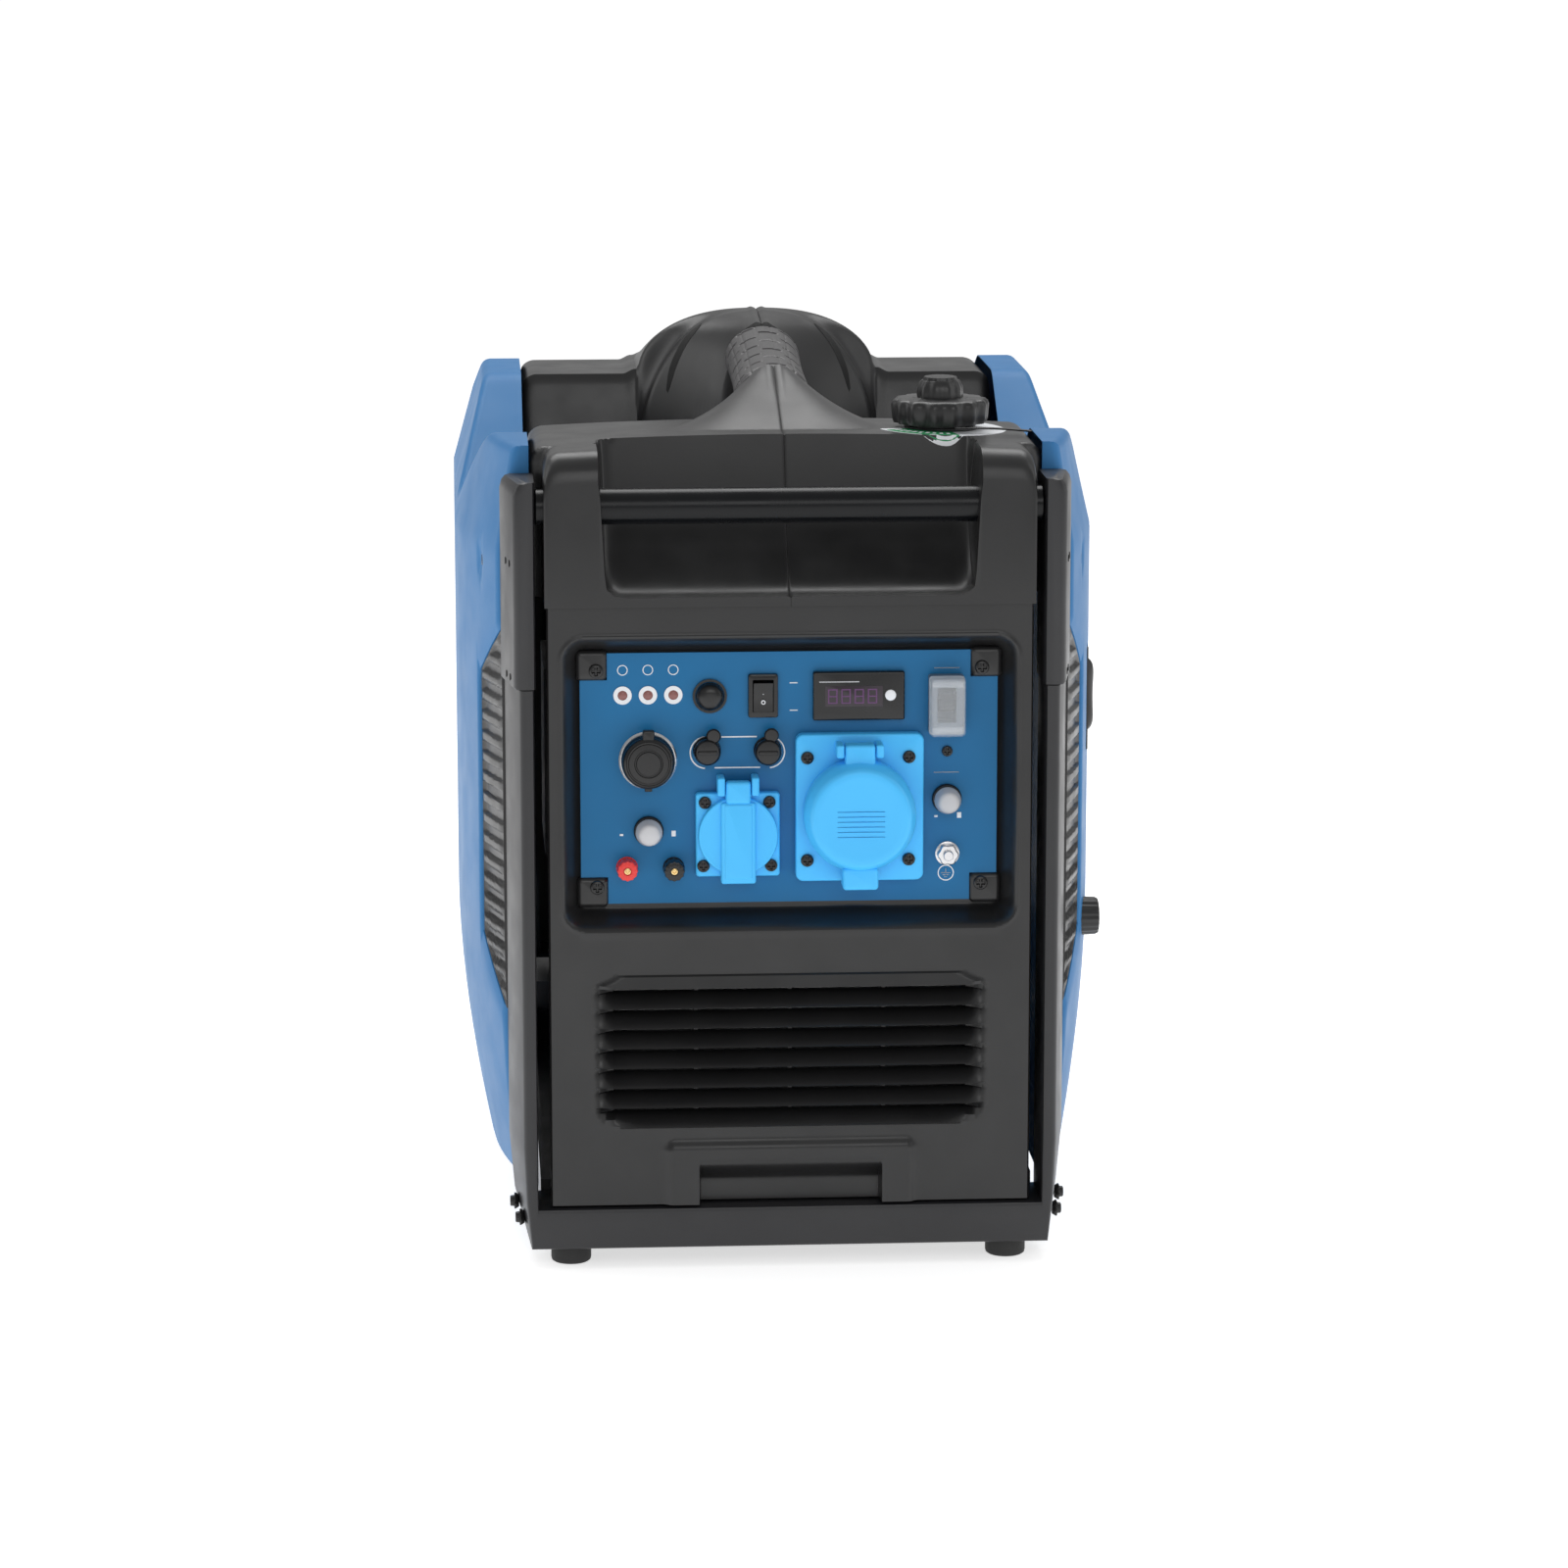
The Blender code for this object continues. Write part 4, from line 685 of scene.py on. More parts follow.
def ring_mark(name, x, z, inner_r, outer_r, material=print_white, start=0.0, end=360.0,
              out=0.00025, on=panel_d):
    """Printed ring, or part of one, standing a hair proud of the face it is on."""
    a = np.radians(np.linspace(start, end, 49))
    rows = [at(x + r * np.cos(a), d, z + r * np.sin(a))
            for r, d in ((inner_r, on + 0.0002), (outer_r, on + 0.0002),
                         (outer_r, on - out), (inner_r, on - out))]
    grid = np.array(rows).transpose(1, 0, 2)
    whole = end - start >= 359.9
    if whole:
        piece = surface(name, [grid[:-1]], material, (True, True))
    else:
        piece = capped(name, grid, material)
    return settle(piece, "case", "panel_blue")


for sx in (-1, 1):
    for word, z0, z1, zc in (("top", 0.3524, 0.3705, 0.3585), ("foot", 0.2165, 0.2347, 0.2290)):
        x0, x1 = sorted((sx * 0.1068, sx * 0.1255))
        brick("corner_%s_%d" % (word, sx), (x0, x1), (0.0158, 0.0215), (z0, z1), 0.0030,
              case_black, slot="black_plastic")
        cross_screw("corner_screw_%s_%d" % (word, sx), sx * 0.1135, zc, 0.0158, 0.0042)

for word, xs, zs in (("pair_line_top", (-0.0400, -0.0190), (0.3177, 0.3185)),
                     ("pair_line_foot", (-0.0440, -0.0170), (0.2993, 0.3001)),
                     ("eco_on", (0.0003, 0.0050), (0.3497, 0.3503)),
                     ("eco_off", (0.0003, 0.0050), (0.3333, 0.3339)),
                     ("main_line", (0.0855, 0.1005), (0.3577, 0.3581)),
                     ("ac_line", (0.0855, 0.1005), (0.2952, 0.2956)),
                     ("earth_stem", (0.0928, 0.0932), (0.2349, 0.2375))):
    mark(word, xs, zs)
lamp_z, symbol_z, arc_z = 0.3435, 0.3585, 0.3088
for k, x in enumerate((-0.0979, -0.0830, -0.0681)):
    ring_mark("lamp_ring_%d" % k, x, lamp_z, 0.0029, 0.0054, out=0.0006)
    dial("lamp_%d" % k, [(0.0029, 0.0185), (0.0029, 0.0178), (0.0018, 0.0170), (0.0006, 0.0168)],
         x, lamp_z, moulded("lamp_lens_%d" % k, (0.25, 0.10, 0.09), 0.15, grain=300.0))
    ring_mark("symbol_%d" % k, x, symbol_z, 0.0026, 0.0031)
for k, (x, z) in enumerate(((-0.0990, 0.2600), (0.0870, 0.2690))):
    mark("push_in_%d" % k, about(x, 0.0010), about(z, 0.0006))
    mark("push_out_%d" % k, (x + 0.0295 - 0.0170 * k, x + 0.0320 - 0.0170 * k),
         (z - 0.0012, z + 0.0022))
ring_mark("pair_arc_left", -0.0489, arc_z, 0.0090, 0.0098, start=95, end=265)
ring_mark("pair_arc_right", -0.0121, arc_z, 0.0090, 0.0098, start=-85, end=85)
ring_mark("earth_ring", 0.0930, 0.2348, 0.0042, 0.0048)
for k, half in enumerate((0.0028, 0.0019, 0.0010)):
    mark("earth_bar_%d" % k, about(0.0930, half), (0.2345 - 0.0012 * k, 0.2349 - 0.0012 * k))
cross_screw("panel_screw", 0.0934, 0.3081, panel_d, 0.0032)

# ---- Small socket ------------------------------------------------------------
# A moulded flange held by four screws, with a round well for the plug and two hinge
# ears. Its lid is a thin moulding with a raised band, shut by a spring.
socket_blue = moulded("socket_blue", (0.070, 0.520, 1.0), 0.36, grain=450.0, depth=0.03,
                      mottle=0.03, shine=0.35)


def socket_body(name, x, z, xs, zs, face_d, corner, well_r, well_d, material, node):
    """Flange with rounded corners whose face runs in to a round well with a flat floor."""
    base = rect_outline(*xs, *zs, corner)
    ang = np.arctan2(base[:, 1] - z, base[:, 0] - x)

    def circle(r, d):
        return at(x + r * np.cos(ang), d, z + r * np.sin(ang))

    rings = [circle(well_r + 0.002, panel_d - 0.0003), facing(base, panel_d - 0.0003)]
    for k in range(4):
        a = math.pi / 2 * k / 3
        e = 0.0014
        inset = e * (1 - math.cos(a))
        rings.append(facing(rect_outline(xs[0] + inset, xs[1] - inset, zs[0] + inset,
                                         zs[1] - inset, corner - inset),
                            face_d + e * (1 - math.sin(a))))
    rings += [circle(well_r + 0.0006, face_d), circle(well_r, face_d + 0.0006),
              circle(well_r, well_d), circle(0.001, well_d)]
    rings += [circle(0.001, well_d + 0.002), circle(well_r + 0.002, well_d + 0.002)]
    piece = surface(name, [np.array(rings)], material, (True, True))
    return settle(piece, "case", "socket_blue", node)


small_x, small_z = -0.0306, 0.2604
on_small_lid = (socket_blue, "small_lid", "socket_blue")
socket_body("socket_small", small_x, small_z, (-0.0554, -0.0058), (0.2353, 0.2855), 0.0120, 0.0020,
            0.0195, 0.0285, socket_blue, "socket_small_body")
for sx in (-1, 1):
    xs = sorted((small_x + sx * 0.0079, small_x + sx * 0.0123))
    brick("small_ear_%d" % sx, xs, (0.0040, 0.0177), (0.2850, 0.2960), 0.0012, socket_blue,
          slot="socket_blue")
for k, (x, z) in enumerate(((-0.0500, 0.2800), (-0.0120, 0.2800),
                            (-0.0510, 0.2420), (-0.0110, 0.2420))):
    cross_screw("small_screw_%d" % k, x, z, 0.0120, 0.0037)
# The two holes in the floor of the well are thin black discs: painted shade standing in for their
# dark insides.
for sx in (-1, 1):
    dial("small_pin_%d" % sx, [(0.0025, 0.0286), (0.0025, 0.0281), (0.0005, 0.0281)],
         small_x + sx * 0.0095, small_z, deep_black)
dial("lid_small", [(0.0236, 0.0117), (0.0236, 0.0084), (0.0231, 0.0075), (0.0220, 0.0072),
                   (0.0212, 0.0074), (0.0206, 0.0074), (0.001, 0.0072)], small_x, small_z,
     *on_small_lid, ("socket_small_lid",), 64)
brick("lid_small_band", about(small_x, 0.0103), (0.0045, 0.0115), (0.2322, 0.2810), 0.0016,
      *on_small_lid)
brick("lid_small_plate", about(small_x, 0.0082), (0.0040, 0.0060), (0.2350, 0.2800), 0.0010,
      *on_small_lid)
brick("lid_small_arm", about(small_x, 0.0074), (0.0042, 0.0100), (0.2800, 0.2935), 0.0020,
      *on_small_lid)

# ---- Large socket ------------------------------------------------------------
# The same kind of moulding at a larger size, with a raised collar round the well. Its
# lid is a deep cup with ribs on its face and a tab under it to pull it open.
large_x, large_z = 0.0404, 0.2737
on_large_lid = (socket_blue, "large_lid", "socket_blue")
socket_body("socket_large", large_x, large_z, (0.0035, 0.0790), (0.2322, 0.3203), 0.0100, 0.0045,
            0.0245, 0.0400, socket_blue, "socket_large_body")
bright_steel = moulded("bright_steel", (0.62, 0.62, 0.63), 0.28, depth=0.04, metal=1.0,
                       scratch=0.2)
a = around(64)
ring = [at(large_x + r * np.cos(a), d, large_z + r * np.sin(a))
        for r, d in ((0.0300, 0.0102), (0.0300, 0.0075), (0.0294, 0.0069), (0.0250, 0.0069),
                     (0.0246, 0.0075), (0.0246, 0.0102))]
settle(surface("socket_large_collar", [np.array(ring)], socket_blue, (True, True)), "case",
       "socket_blue")
for sx in (-1, 1):
    xs = sorted((large_x + sx * 0.0094, large_x + sx * 0.0139))
    brick("large_ear_%d" % sx, xs, (-0.0058, 0.0110), (0.3085, 0.3165), 0.0014, socket_blue,
          slot="socket_blue")
for k, (x, z) in enumerate(((0.0102, 0.3065), (0.0702, 0.3065),
                            (0.0102, 0.2450), (0.0702, 0.2450))):
    cross_screw("large_screw_%d" % k, x, z, 0.0100, 0.0038)
for k, (px, pz) in enumerate(((-0.0105, 0.002), (0.0105, 0.002), (0.0, 0.0125))):
    dial("large_pin_%d" % k, [(0.0030, 0.0401), (0.0030, 0.0240), (0.0018, 0.0225),
                              (0.0004, 0.0225)], large_x + px, large_z + pz, bright_steel, "case",
         "socket_blue")
hollow = [(0.0010, -0.0075), (0.0260, -0.0075), (0.0260, 0.0065), (0.0330, 0.0065),
          (0.0330, -0.0050), (0.0322, -0.0062), (0.0305, -0.0110), (0.0288, -0.0131),
          (0.0272, -0.0138), (0.0240, -0.0136), (0.0010, -0.0132)]
dial("lid_large", hollow, large_x, large_z, *on_large_lid,
     ("socket_large_lid",), 80)
brick("lid_large_tab", about(large_x, 0.0105), (-0.0100, 0.0040), (0.2305, 0.2440), 0.0022,
      *on_large_lid)
brick("lid_large_arm", about(large_x, 0.0089), (-0.0060, 0.0040), (0.3000, 0.3165), 0.0020,
      *on_large_lid)
for k in range(6):
    brick("lid_large_plate_%d" % k, about(large_x, 0.0140), (-0.0137, -0.0130),
          (0.2630 + 0.0030 * k, 0.2634 + 0.0030 * k), 0.0001, *on_large_lid)

# ---- Meter -------------------------------------------------------------------
# A small moulded case snapped into the panel, with a tinted window whose four figures
# still show when they are off, and one round key beside it.
meter_x, meter_z = 0.0409, 0.3423
key_x, key_z, meter_face = 0.0594, 0.3429, 0.01345
brick("meter_case", about(meter_x, 0.0270), (0.0135, 0.0177), about(meter_z, 0.0145), 0.0012,
      nodes=("meter_housing",))
mark("meter_legend", (meter_x - 0.0235, meter_x + 0.0002), (0.3507, 0.3512), on=meter_face)
ring_mark("meter_key_ring", key_x, key_z, 0.0034, 0.0040, switch_black, on=meter_face)
brick("meter_window", (meter_x - 0.0200, meter_x + 0.0140), (0.01335, 0.0140),
      about(meter_z, 0.0062), 0.0001, moulded("meter_glass", (0.022, 0.014, 0.022), 0.16,
                                              grain=300.0, depth=0.02))
digit_look = moulded("digit_purple", (0.11, 0.035, 0.13), 0.35, grain=300.0, depth=0.02)
stroke = 0.0004
for k in range(4):
    x = meter_x - 0.0155 + 0.0078 * k
    for n, (dx, dz, half_x, half_z) in enumerate((
            (0.0, 0.0040, 0.0022, stroke), (0.0, 0.0, 0.0022, stroke),
            (0.0, -0.0040, 0.0022, stroke), (-0.0024, 0.0, stroke, 0.0044),
            (0.0024, 0.0, stroke, 0.0044))):
        brick("figure_%d_%d" % (k, n), about(x + dx, half_x), (0.01325, 0.0136),
              about(meter_z + dz, half_z), 0.0001, digit_look)
dial("meter_key_cap", [(0.0032, 0.0150), (0.0032, 0.0123), (0.0027, 0.0120), (0.0005, 0.0120)],
     key_x, key_z, print_white, "meter_key", "boot_white", ("meter_button",))

# ---- Rocker switch, reset button and breakers --------------------------------
# Snap-in rocker for the economy mode, a domed reset button and two push breakers
# with clear rubber boots over white buttons.
def block_outline(x, z, half_x, half_z, radius):
    """Rounded rectangle round a centre."""
    return rect_outline(*about(x, half_x), *about(z, half_z), radius)


boot_clear = moulded("boot_clear", (0.62, 0.62, 0.64), 0.22, grain=600.0, depth=0.05, alpha=0.72)
eco_x, eco_z = -0.0154, 0.3427
opening = block_outline(eco_x, eco_z, 0.0062, 0.0097, 0.0006)
skirt = block_outline(eco_x, eco_z, 0.0074, 0.0110, 0.0006)
rings = [facing(skirt, 0.0177)]
for inset, d in ((0.0, 0.0177), (0.0, 0.0160), (0.0003, 0.0153), (0.0010, 0.0150)):
    rings.append(facing(block_outline(eco_x, eco_z, 0.0088 - inset, 0.0130 - inset, 0.0014), d))
rings += [facing(opening, 0.0150), facing(opening, 0.0230), facing(skirt, 0.0230)]
settle(surface("eco_bezel", [np.array(rings)], switch_black, (True, True)), "case", "switch_black",
       "eco_switch_bezel")
tilt = math.radians(10)
face = [(-0.0040, -0.0090), (-0.0030, -0.0045), (-0.0025, 0.0), (-0.0030, 0.0045),
        (-0.0040, 0.0090), (0.0030, 0.0070), (0.0058, 0.0), (0.0030, -0.0070)]
rings = []
for x, shrink in ((-0.0057, 0.94), (-0.0055, 1.0), (0.0055, 1.0), (0.0057, 0.94)):
    rings.append([(eco_x + x, face_y + 0.0170 + (p * math.cos(tilt) - q * math.sin(tilt)) * shrink,
                   eco_z + (p * math.sin(tilt) + q * math.cos(tilt)) * shrink) for p, q in face])
settle(capped("eco_key", rings, switch_black), "eco_rocker", "switch_black", "eco_switch_rocker")
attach(mark("eco_bar", about(eco_x, 0.0003), (eco_z + 0.0010, eco_z + 0.0036), 0.0006,
             on=0.0146), "eco_rocker")
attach(ring_mark("eco_ring", eco_x, eco_z - 0.0035, 0.0008, 0.0013, out=0.0012, on=0.0147),
        "eco_rocker")
reset_x, reset_z = -0.0467, 0.3427
ring_mark("reset_collar", reset_x, reset_z, 0.0087, 0.0101, switch_black, out=0.0016)
dial("reset_dome", [(0.0080, 0.0160), (0.0083, 0.0156), (0.0082, 0.0143), (0.0072, 0.0120),
                    (0.0050, 0.0104), (0.0025, 0.0100), (0.0004, 0.0100)], reset_x, reset_z,
     switch_black, "reset_button", "switch_black", ("ac_reset_button",), angle=60)
for word, x, z in (("dc", -0.0830, 0.2625), ("ac", 0.0933, 0.2797)):
    dial(word + "_nut", [(0.0052, 0.0176), (0.0088, 0.0177), (0.0088, 0.0160), (0.0082, 0.0152),
                         (0.0072, 0.0150), (0.0052, 0.0150)], x, z,
         nodes=(word + "_breaker_body",))
    dial(word + "_push", [(0.0045, 0.0300), (0.0045, 0.0125), (0.0050, 0.0100), (0.0050, 0.0052),
                          (0.0044, 0.0046), (0.0004, 0.0046)], x, z, print_white, word + "_button",
         "boot_white", (word + "_breaker_button",))
    dial(word + "_boot", [(0.0052, 0.0125), (0.0078, 0.0123), (0.0079, 0.0100), (0.0072, 0.0078),
                          (0.0064, 0.0040), (0.0058, 0.0026), (0.0040, 0.0020), (0.0004, 0.0019)],
         x, z, boot_clear, word + "_button", "boot_white", angle=60)

# ---- Main breaker ------------------------------------------------------------
# A toggle breaker in a grey moulded body set into the panel. A clear flap with
# rounded edges hinges over it to keep water off the toggle.
flap_clear = moulded("flap_clear", (0.80, 0.84, 0.88), 0.08, grain=400.0, depth=0.03, alpha=0.20)
main_x, main_z = 0.0924, 0.3369
outline = block_outline(main_x, main_z, 0.0104, 0.0175, 0.0015)
pocket = block_outline(main_x, main_z, 0.0056, 0.0105, 0.0008)
main_centre = np.array([main_x, main_z])
floor_ring = (pocket - main_centre) * 0.02 + main_centre
under_ring = (pocket - main_centre) * 1.08 + main_centre
rings = [facing(shape, d) for shape, d in (
    (pocket, 0.0177), (outline, 0.0177), (outline, 0.0104), (outline, 0.0100), (pocket, 0.0100),
    (pocket, 0.0240), (floor_ring, 0.0240), (floor_ring, 0.0250), (under_ring, 0.0250),
    (under_ring, 0.0177))]
breaker_grey = moulded("breaker_grey", (0.16, 0.20, 0.25), 0.35, grain=900.0)
settle(surface("main_base", [np.array(rings)], breaker_grey, (True, True)), "case", "switch_black",
       "main_breaker_body")
lean = math.radians(38)
hub_r, tip_r, pivot_d = 0.0045, 0.0098, 0.0140
turns = np.radians([35, 60, 90, 130, 180, 230, 270, 300, 325, -12, -4, 4, 12]) + math.pi - lean
reach = np.array([hub_r] * 9 + [tip_r] * 4)
rings = [at(main_x + x, pivot_d + reach * share * np.cos(turns),
            main_z + reach * share * np.sin(turns))
         for x, share in ((-0.0050, 0.9), (-0.0046, 1.0), (0.0046, 1.0), (0.0050, 0.9))]
settle(capped("main_lever", rings, switch_black), "main_toggle", "switch_black",
       "main_breaker_toggle")


def flap_ring(inset, d, corner=0.0030):
    """Outline of the flap, drawn in by inset at a depth."""
    return facing(block_outline(main_x, main_z, 0.0106 - inset, 0.0177 - inset,
                                max(0.0006, corner - inset)), d)


front_plate = facing(block_outline(main_x, main_z, 0.0016, 0.0087, 0.0006), 0.0005)
plug = (front_plate.mean(0) - front_plate) * 0.98 + front_plate
flap_wall = np.array([0, 0.0011, 0])
rings = [flap_ring(0.0, 0.0097), flap_ring(0.0, 0.0030), flap_ring(0.0008, 0.0012),
         flap_ring(0.0025, 0.0005), front_plate, plug, plug + flap_wall, front_plate + flap_wall,
         flap_ring(0.0030, 0.0016), flap_ring(0.0018, 0.0022), flap_ring(0.0012, 0.0034),
         flap_ring(0.0012, 0.0097)]
settle(surface("main_flap_shell", [np.array(rings)], flap_clear, (True, True)), "main_flap",
       "clear_cover", "main_breaker_cover")
for k, (z0, z1) in enumerate(((-0.0150, -0.0120), (0.0118, 0.0150))):
    brick("main_flap_rib_%d" % k, about(main_x, 0.0092), (0.0017, 0.0040),
          (main_z + z0, main_z + z1), 0.0004, flap_clear, "main_flap", "clear_cover")

# ---- Transfer-switch socket and the parallel jacks ---------------------------
# A round connector held by a plated nut, under a sprung cap with ridges, and two jacks
# whose soft dust caps swing aside on a pin.
ats_x, ats_z = -0.0832, 0.3047
dial("ats_shell", [(0.0100, 0.0300), (0.0125, 0.0300), (0.0125, 0.0179), (0.0158, 0.0177),
                   (0.0158, 0.0120), (0.0150, 0.0102), (0.0146, 0.0100), (0.0102, 0.0100),
                   (0.0100, 0.0102), (0.0100, 0.0290), (0.0010, 0.0290)], ats_x, ats_z,
     nodes=("ats_connector",))
dial("ats_collar", [(0.0158, 0.0182), (0.0172, 0.0180), (0.0172, 0.0172), (0.0164, 0.0166),
                    (0.0158, 0.0166)], ats_x, ats_z, bright_steel, "case", "steel")
dial("ats_lid", [(0.0152, 0.0097), (0.0153, 0.0080), (0.0151, 0.0065), (0.0146, 0.0056),
                 (0.0132, 0.0048), (0.0128, 0.0052), (0.0120, 0.0052), (0.0116, 0.0046),
                 (0.0084, 0.0044), (0.0080, 0.0050), (0.0074, 0.0050), (0.0070, 0.0043),
                 (0.0004, 0.0042)], ats_x, ats_z, switch_black, "ats_flap", "switch_black",
     ("ats_cap",), 64)
brick("ats_tab", about(ats_x, 0.0035), (0.0055, 0.0095), (0.3170, 0.3245), 0.0012, switch_black,
      "ats_flap")
brick("ats_latch", about(ats_x, 0.0022), (0.0100, 0.0178), (0.2872, 0.2900), 0.0006)
for word, x, z, pin_x in (("left", -0.0485, 0.3104, -0.0449), ("right", -0.0128, 0.3100, -0.0108)):
    dial("jack_" + word, [(0.0028, 0.0240), (0.0045, 0.0240), (0.0045, 0.0178), (0.0060, 0.0177),
                          (0.0060, 0.0130), (0.0055, 0.0125), (0.0028, 0.0125)], x, z,
         nodes=("parallel_jack_" + word,))
    dial("jack_nut_" + word, [(0.0060, 0.0181), (0.0082, 0.0180), (0.0082, 0.0166),
                              (0.0076, 0.0160), (0.0060, 0.0160)], x, z)
    body = "jack_cap_" + word
    dial("dust_cap_" + word, [(0.0078, 0.0121), (0.0079, 0.0100), (0.0076, 0.0088),
                              (0.0066, 0.0078), (0.0040, 0.0075), (0.0004, 0.0074)], x, z,
         switch_black, body, "switch_black", ("parallel_cap_" + word,))
    dial("dust_ear_" + word, [(0.0042, 0.0121), (0.0043, 0.0098), (0.0036, 0.0090),
                              (0.0004, 0.0089)], pin_x, 0.3200, switch_black, body)
    brick("dust_bar_" + word, about(x, 0.0058), (0.0062, 0.0078), about(z, 0.0012), 0.0007,
          switch_black, body)

# ---- Terminals ---------------------------------------------------------------
# Two screw-down posts with fluted moulded heads on brass studs, red and black, and a
# plated steel earth screw with a washer.
terminal_red = moulded("terminal_red", (0.70, 0.035, 0.030), 0.30, grain=1200.0, depth=0.05)
jack_brass = moulded("jack_brass", (0.75, 0.55, 0.25), 0.30, depth=0.05, metal=1.0)
for word, x, z, look, slot_name, body in (
        ("positive", -0.0959, 0.2405, terminal_red, "terminal_red", "positive_head"),
        ("negative", -0.0683, 0.2400, switch_black, "switch_black", "negative_head")):
    dial("post_%s_head" % word, [(0.0058, 0.0165), (0.0060, 0.0150), (0.0060, 0.0070),
                                 (0.0056, 0.0058), (0.0048, 0.0055), (0.0026, 0.0055),
                                 (0.0024, 0.0064), (0.0004, 0.0064)], x, z, look, body, slot_name,
         ("dc_terminal_" + word,), 72, 12, 0.04)
    dial("post_%s_base" % word, [(0.0064, 0.0181), (0.0064, 0.0172), (0.0060, 0.0168),
                                 (0.0030, 0.0168)], x, z, look, "case", slot_name)
    cross_screw("post_%s_stud" % word, x, z, 0.0064, 0.0020, jack_brass, body)
dial("earth_washer", [(0.0072, 0.0181), (0.0072, 0.0170), (0.0069, 0.0168), (0.0034, 0.0168)],
     0.0938, 0.2466, bright_steel, "case", "steel")
dial("earth_head", [(0.0034, 0.0176), (0.0060, 0.0168), (0.0060, 0.0118), (0.0054, 0.0112),
                    (0.0030, 0.0112), (0.0030, 0.0092), (0.0026, 0.0086), (0.0004, 0.0086)],
     0.0938, 0.2466, bright_steel, "case", "steel", ("ground_terminal",), 48, 6, 0.07)

# ---- Carry grip --------------------------------------------------------------
# A soft rubber sleeve moulded round the handle, with rows of short grooves running
# round it and fine lines along its top.
grip_rubber = moulded("grip_rubber", (0.060, 0.058, 0.060), 0.36, grain=1800.0, depth=0.3)
rows = np.linspace(0, 1, 121)
turn = around(160)
s, t = np.meshgrid(rows, turn, indexing="ij")
d = grip_front + 0.0013 + s * (grip_back - grip_front - 0.0021)
waist = 1 - 0.05 * np.sin(math.pi * s)
groove = np.zeros(s.shape)
for k in range(10):
    mid = 0.06 + 0.098 * k
    dash = smooth(0.10, 0.30, np.sin(5 * t + (k % 2) * math.pi + 0.6))
    groove = np.maximum(groove, np.exp(-((s - mid) / 0.0095) ** 4) * dash)
for k in range(6):
    mid = math.pi / 2 + (k - 2.5) * 0.42
    groove = np.maximum(groove, 0.28 * np.exp(-((t - mid) / 0.025) ** 2))
end_round = 0.0016 * (1 - smooth(0.0, 0.03, s)) + 0.0016 * smooth(0.97, 1.0, s)
across = 0.0235 * waist - 0.0017 * groove - end_round
up = 0.0205 * waist - 0.0017 * groove - end_round
rise = 0.4990 + 0.0130 * (d - grip_front) / (grip_back - grip_front)
grid = at(across * np.cos(t), d, rise + up * np.sin(t))
settle(capped("grip_sleeve", grid, grip_rubber), "case", "rubber",
       "carry_grip")

# ---- Rear flare slots --------------------------------------------------------
# Two slanted slots in the dome behind the grip, drawn as thin black strips laid on the top cover:
# painted shade standing in for their dark insides.
for side in (-1, 1):
    u = np.linspace(0, 1, 25)
    v = np.linspace(-1, 1, 9)
    uu, vv = np.meshgrid(u, v, indexing="ij")
    x = side * (0.0590 - 0.0230 * uu)
    width = 0.0022 * np.sqrt(np.clip(1 - (2 * uu - 1) ** 6, 0, 1)) * vv
    d = 0.3225 + 0.008 * uu + width * 1.2
    z = top_surface(abs(x), d)
    skin = at(x, d, z + 0.0003)
    under = at(x, d, z - 0.0010)
    settle(shell("dome_slot_%d" % side, skin, under, np.ones((24, 8), bool), deep_black), "case",
           "black_plastic")

# ---- Fuel cap ----------------------------------------------------------------
# Fluted cap with a vent knob on top; a printed ring on the deck shows which way to
# turn it, and a thin keeper strap lies to its right.
print_green = moulded("print_green", (0.010, 0.26, 0.085), 0.45, mottle=0.05)
cap_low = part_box("fuel_cap_shell")[0][2]
lathe("cap_rim", [(0.0225, 0.0), (0.0270, 0.0004), (0.0278, 0.0030), (0.0284, 0.0110),
                  (0.0278, 0.0132), (0.0262, 0.0146), (0.0240, 0.0150), (0.0165, 0.0150),
                  (0.0158, 0.0154), (0.0004, 0.0156)], (cap_x, cap_d, cap_low), "up", case_black,
      "cap_shell", "black_plastic", ("fuel_cap_shell",), 192, 14, 0.035)
(_, _, knob_low), (_, _, knob_high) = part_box("fuel_cap_vent_knob")
tall = knob_high - knob_low
lathe("cap_knob", [(0.0110, 0.0), (0.0124, 0.0004), (0.0132, 0.0020), (0.0136, tall * 0.55),
                   (0.0132, tall * 0.72), (0.0118, tall * 0.86), (0.0108, tall * 0.90),
                   (0.0100, tall * 0.90), (0.0096, tall * 0.98), (0.0070, tall), (0.0004, tall)],
      (cap_x, cap_d, knob_low), "up", case_black, "cap_vent", "black_plastic",
      ("fuel_cap_vent_knob",), 96, 10, 0.03)


def deck_ring(name, start, end, r0, r1, lift, material):
    """Printed sector on the curved deck round the filler, with a small thickness."""
    ang = np.radians(np.linspace(start, end, 61))
    rad = np.linspace(r0, r1, 9)
    aa, rr = np.meshgrid(ang, rad, indexing="ij")
    x, d = cap_x + rr * np.cos(aa), cap_d + rr * np.sin(aa)
    z = top_surface(x, d)
    skin = at(x, d, z + lift)
    under = at(x, d, z - 0.0006)
    return settle(shell(name, skin, under, np.ones((60, 8), bool), material), "case",
                  "black_plastic")


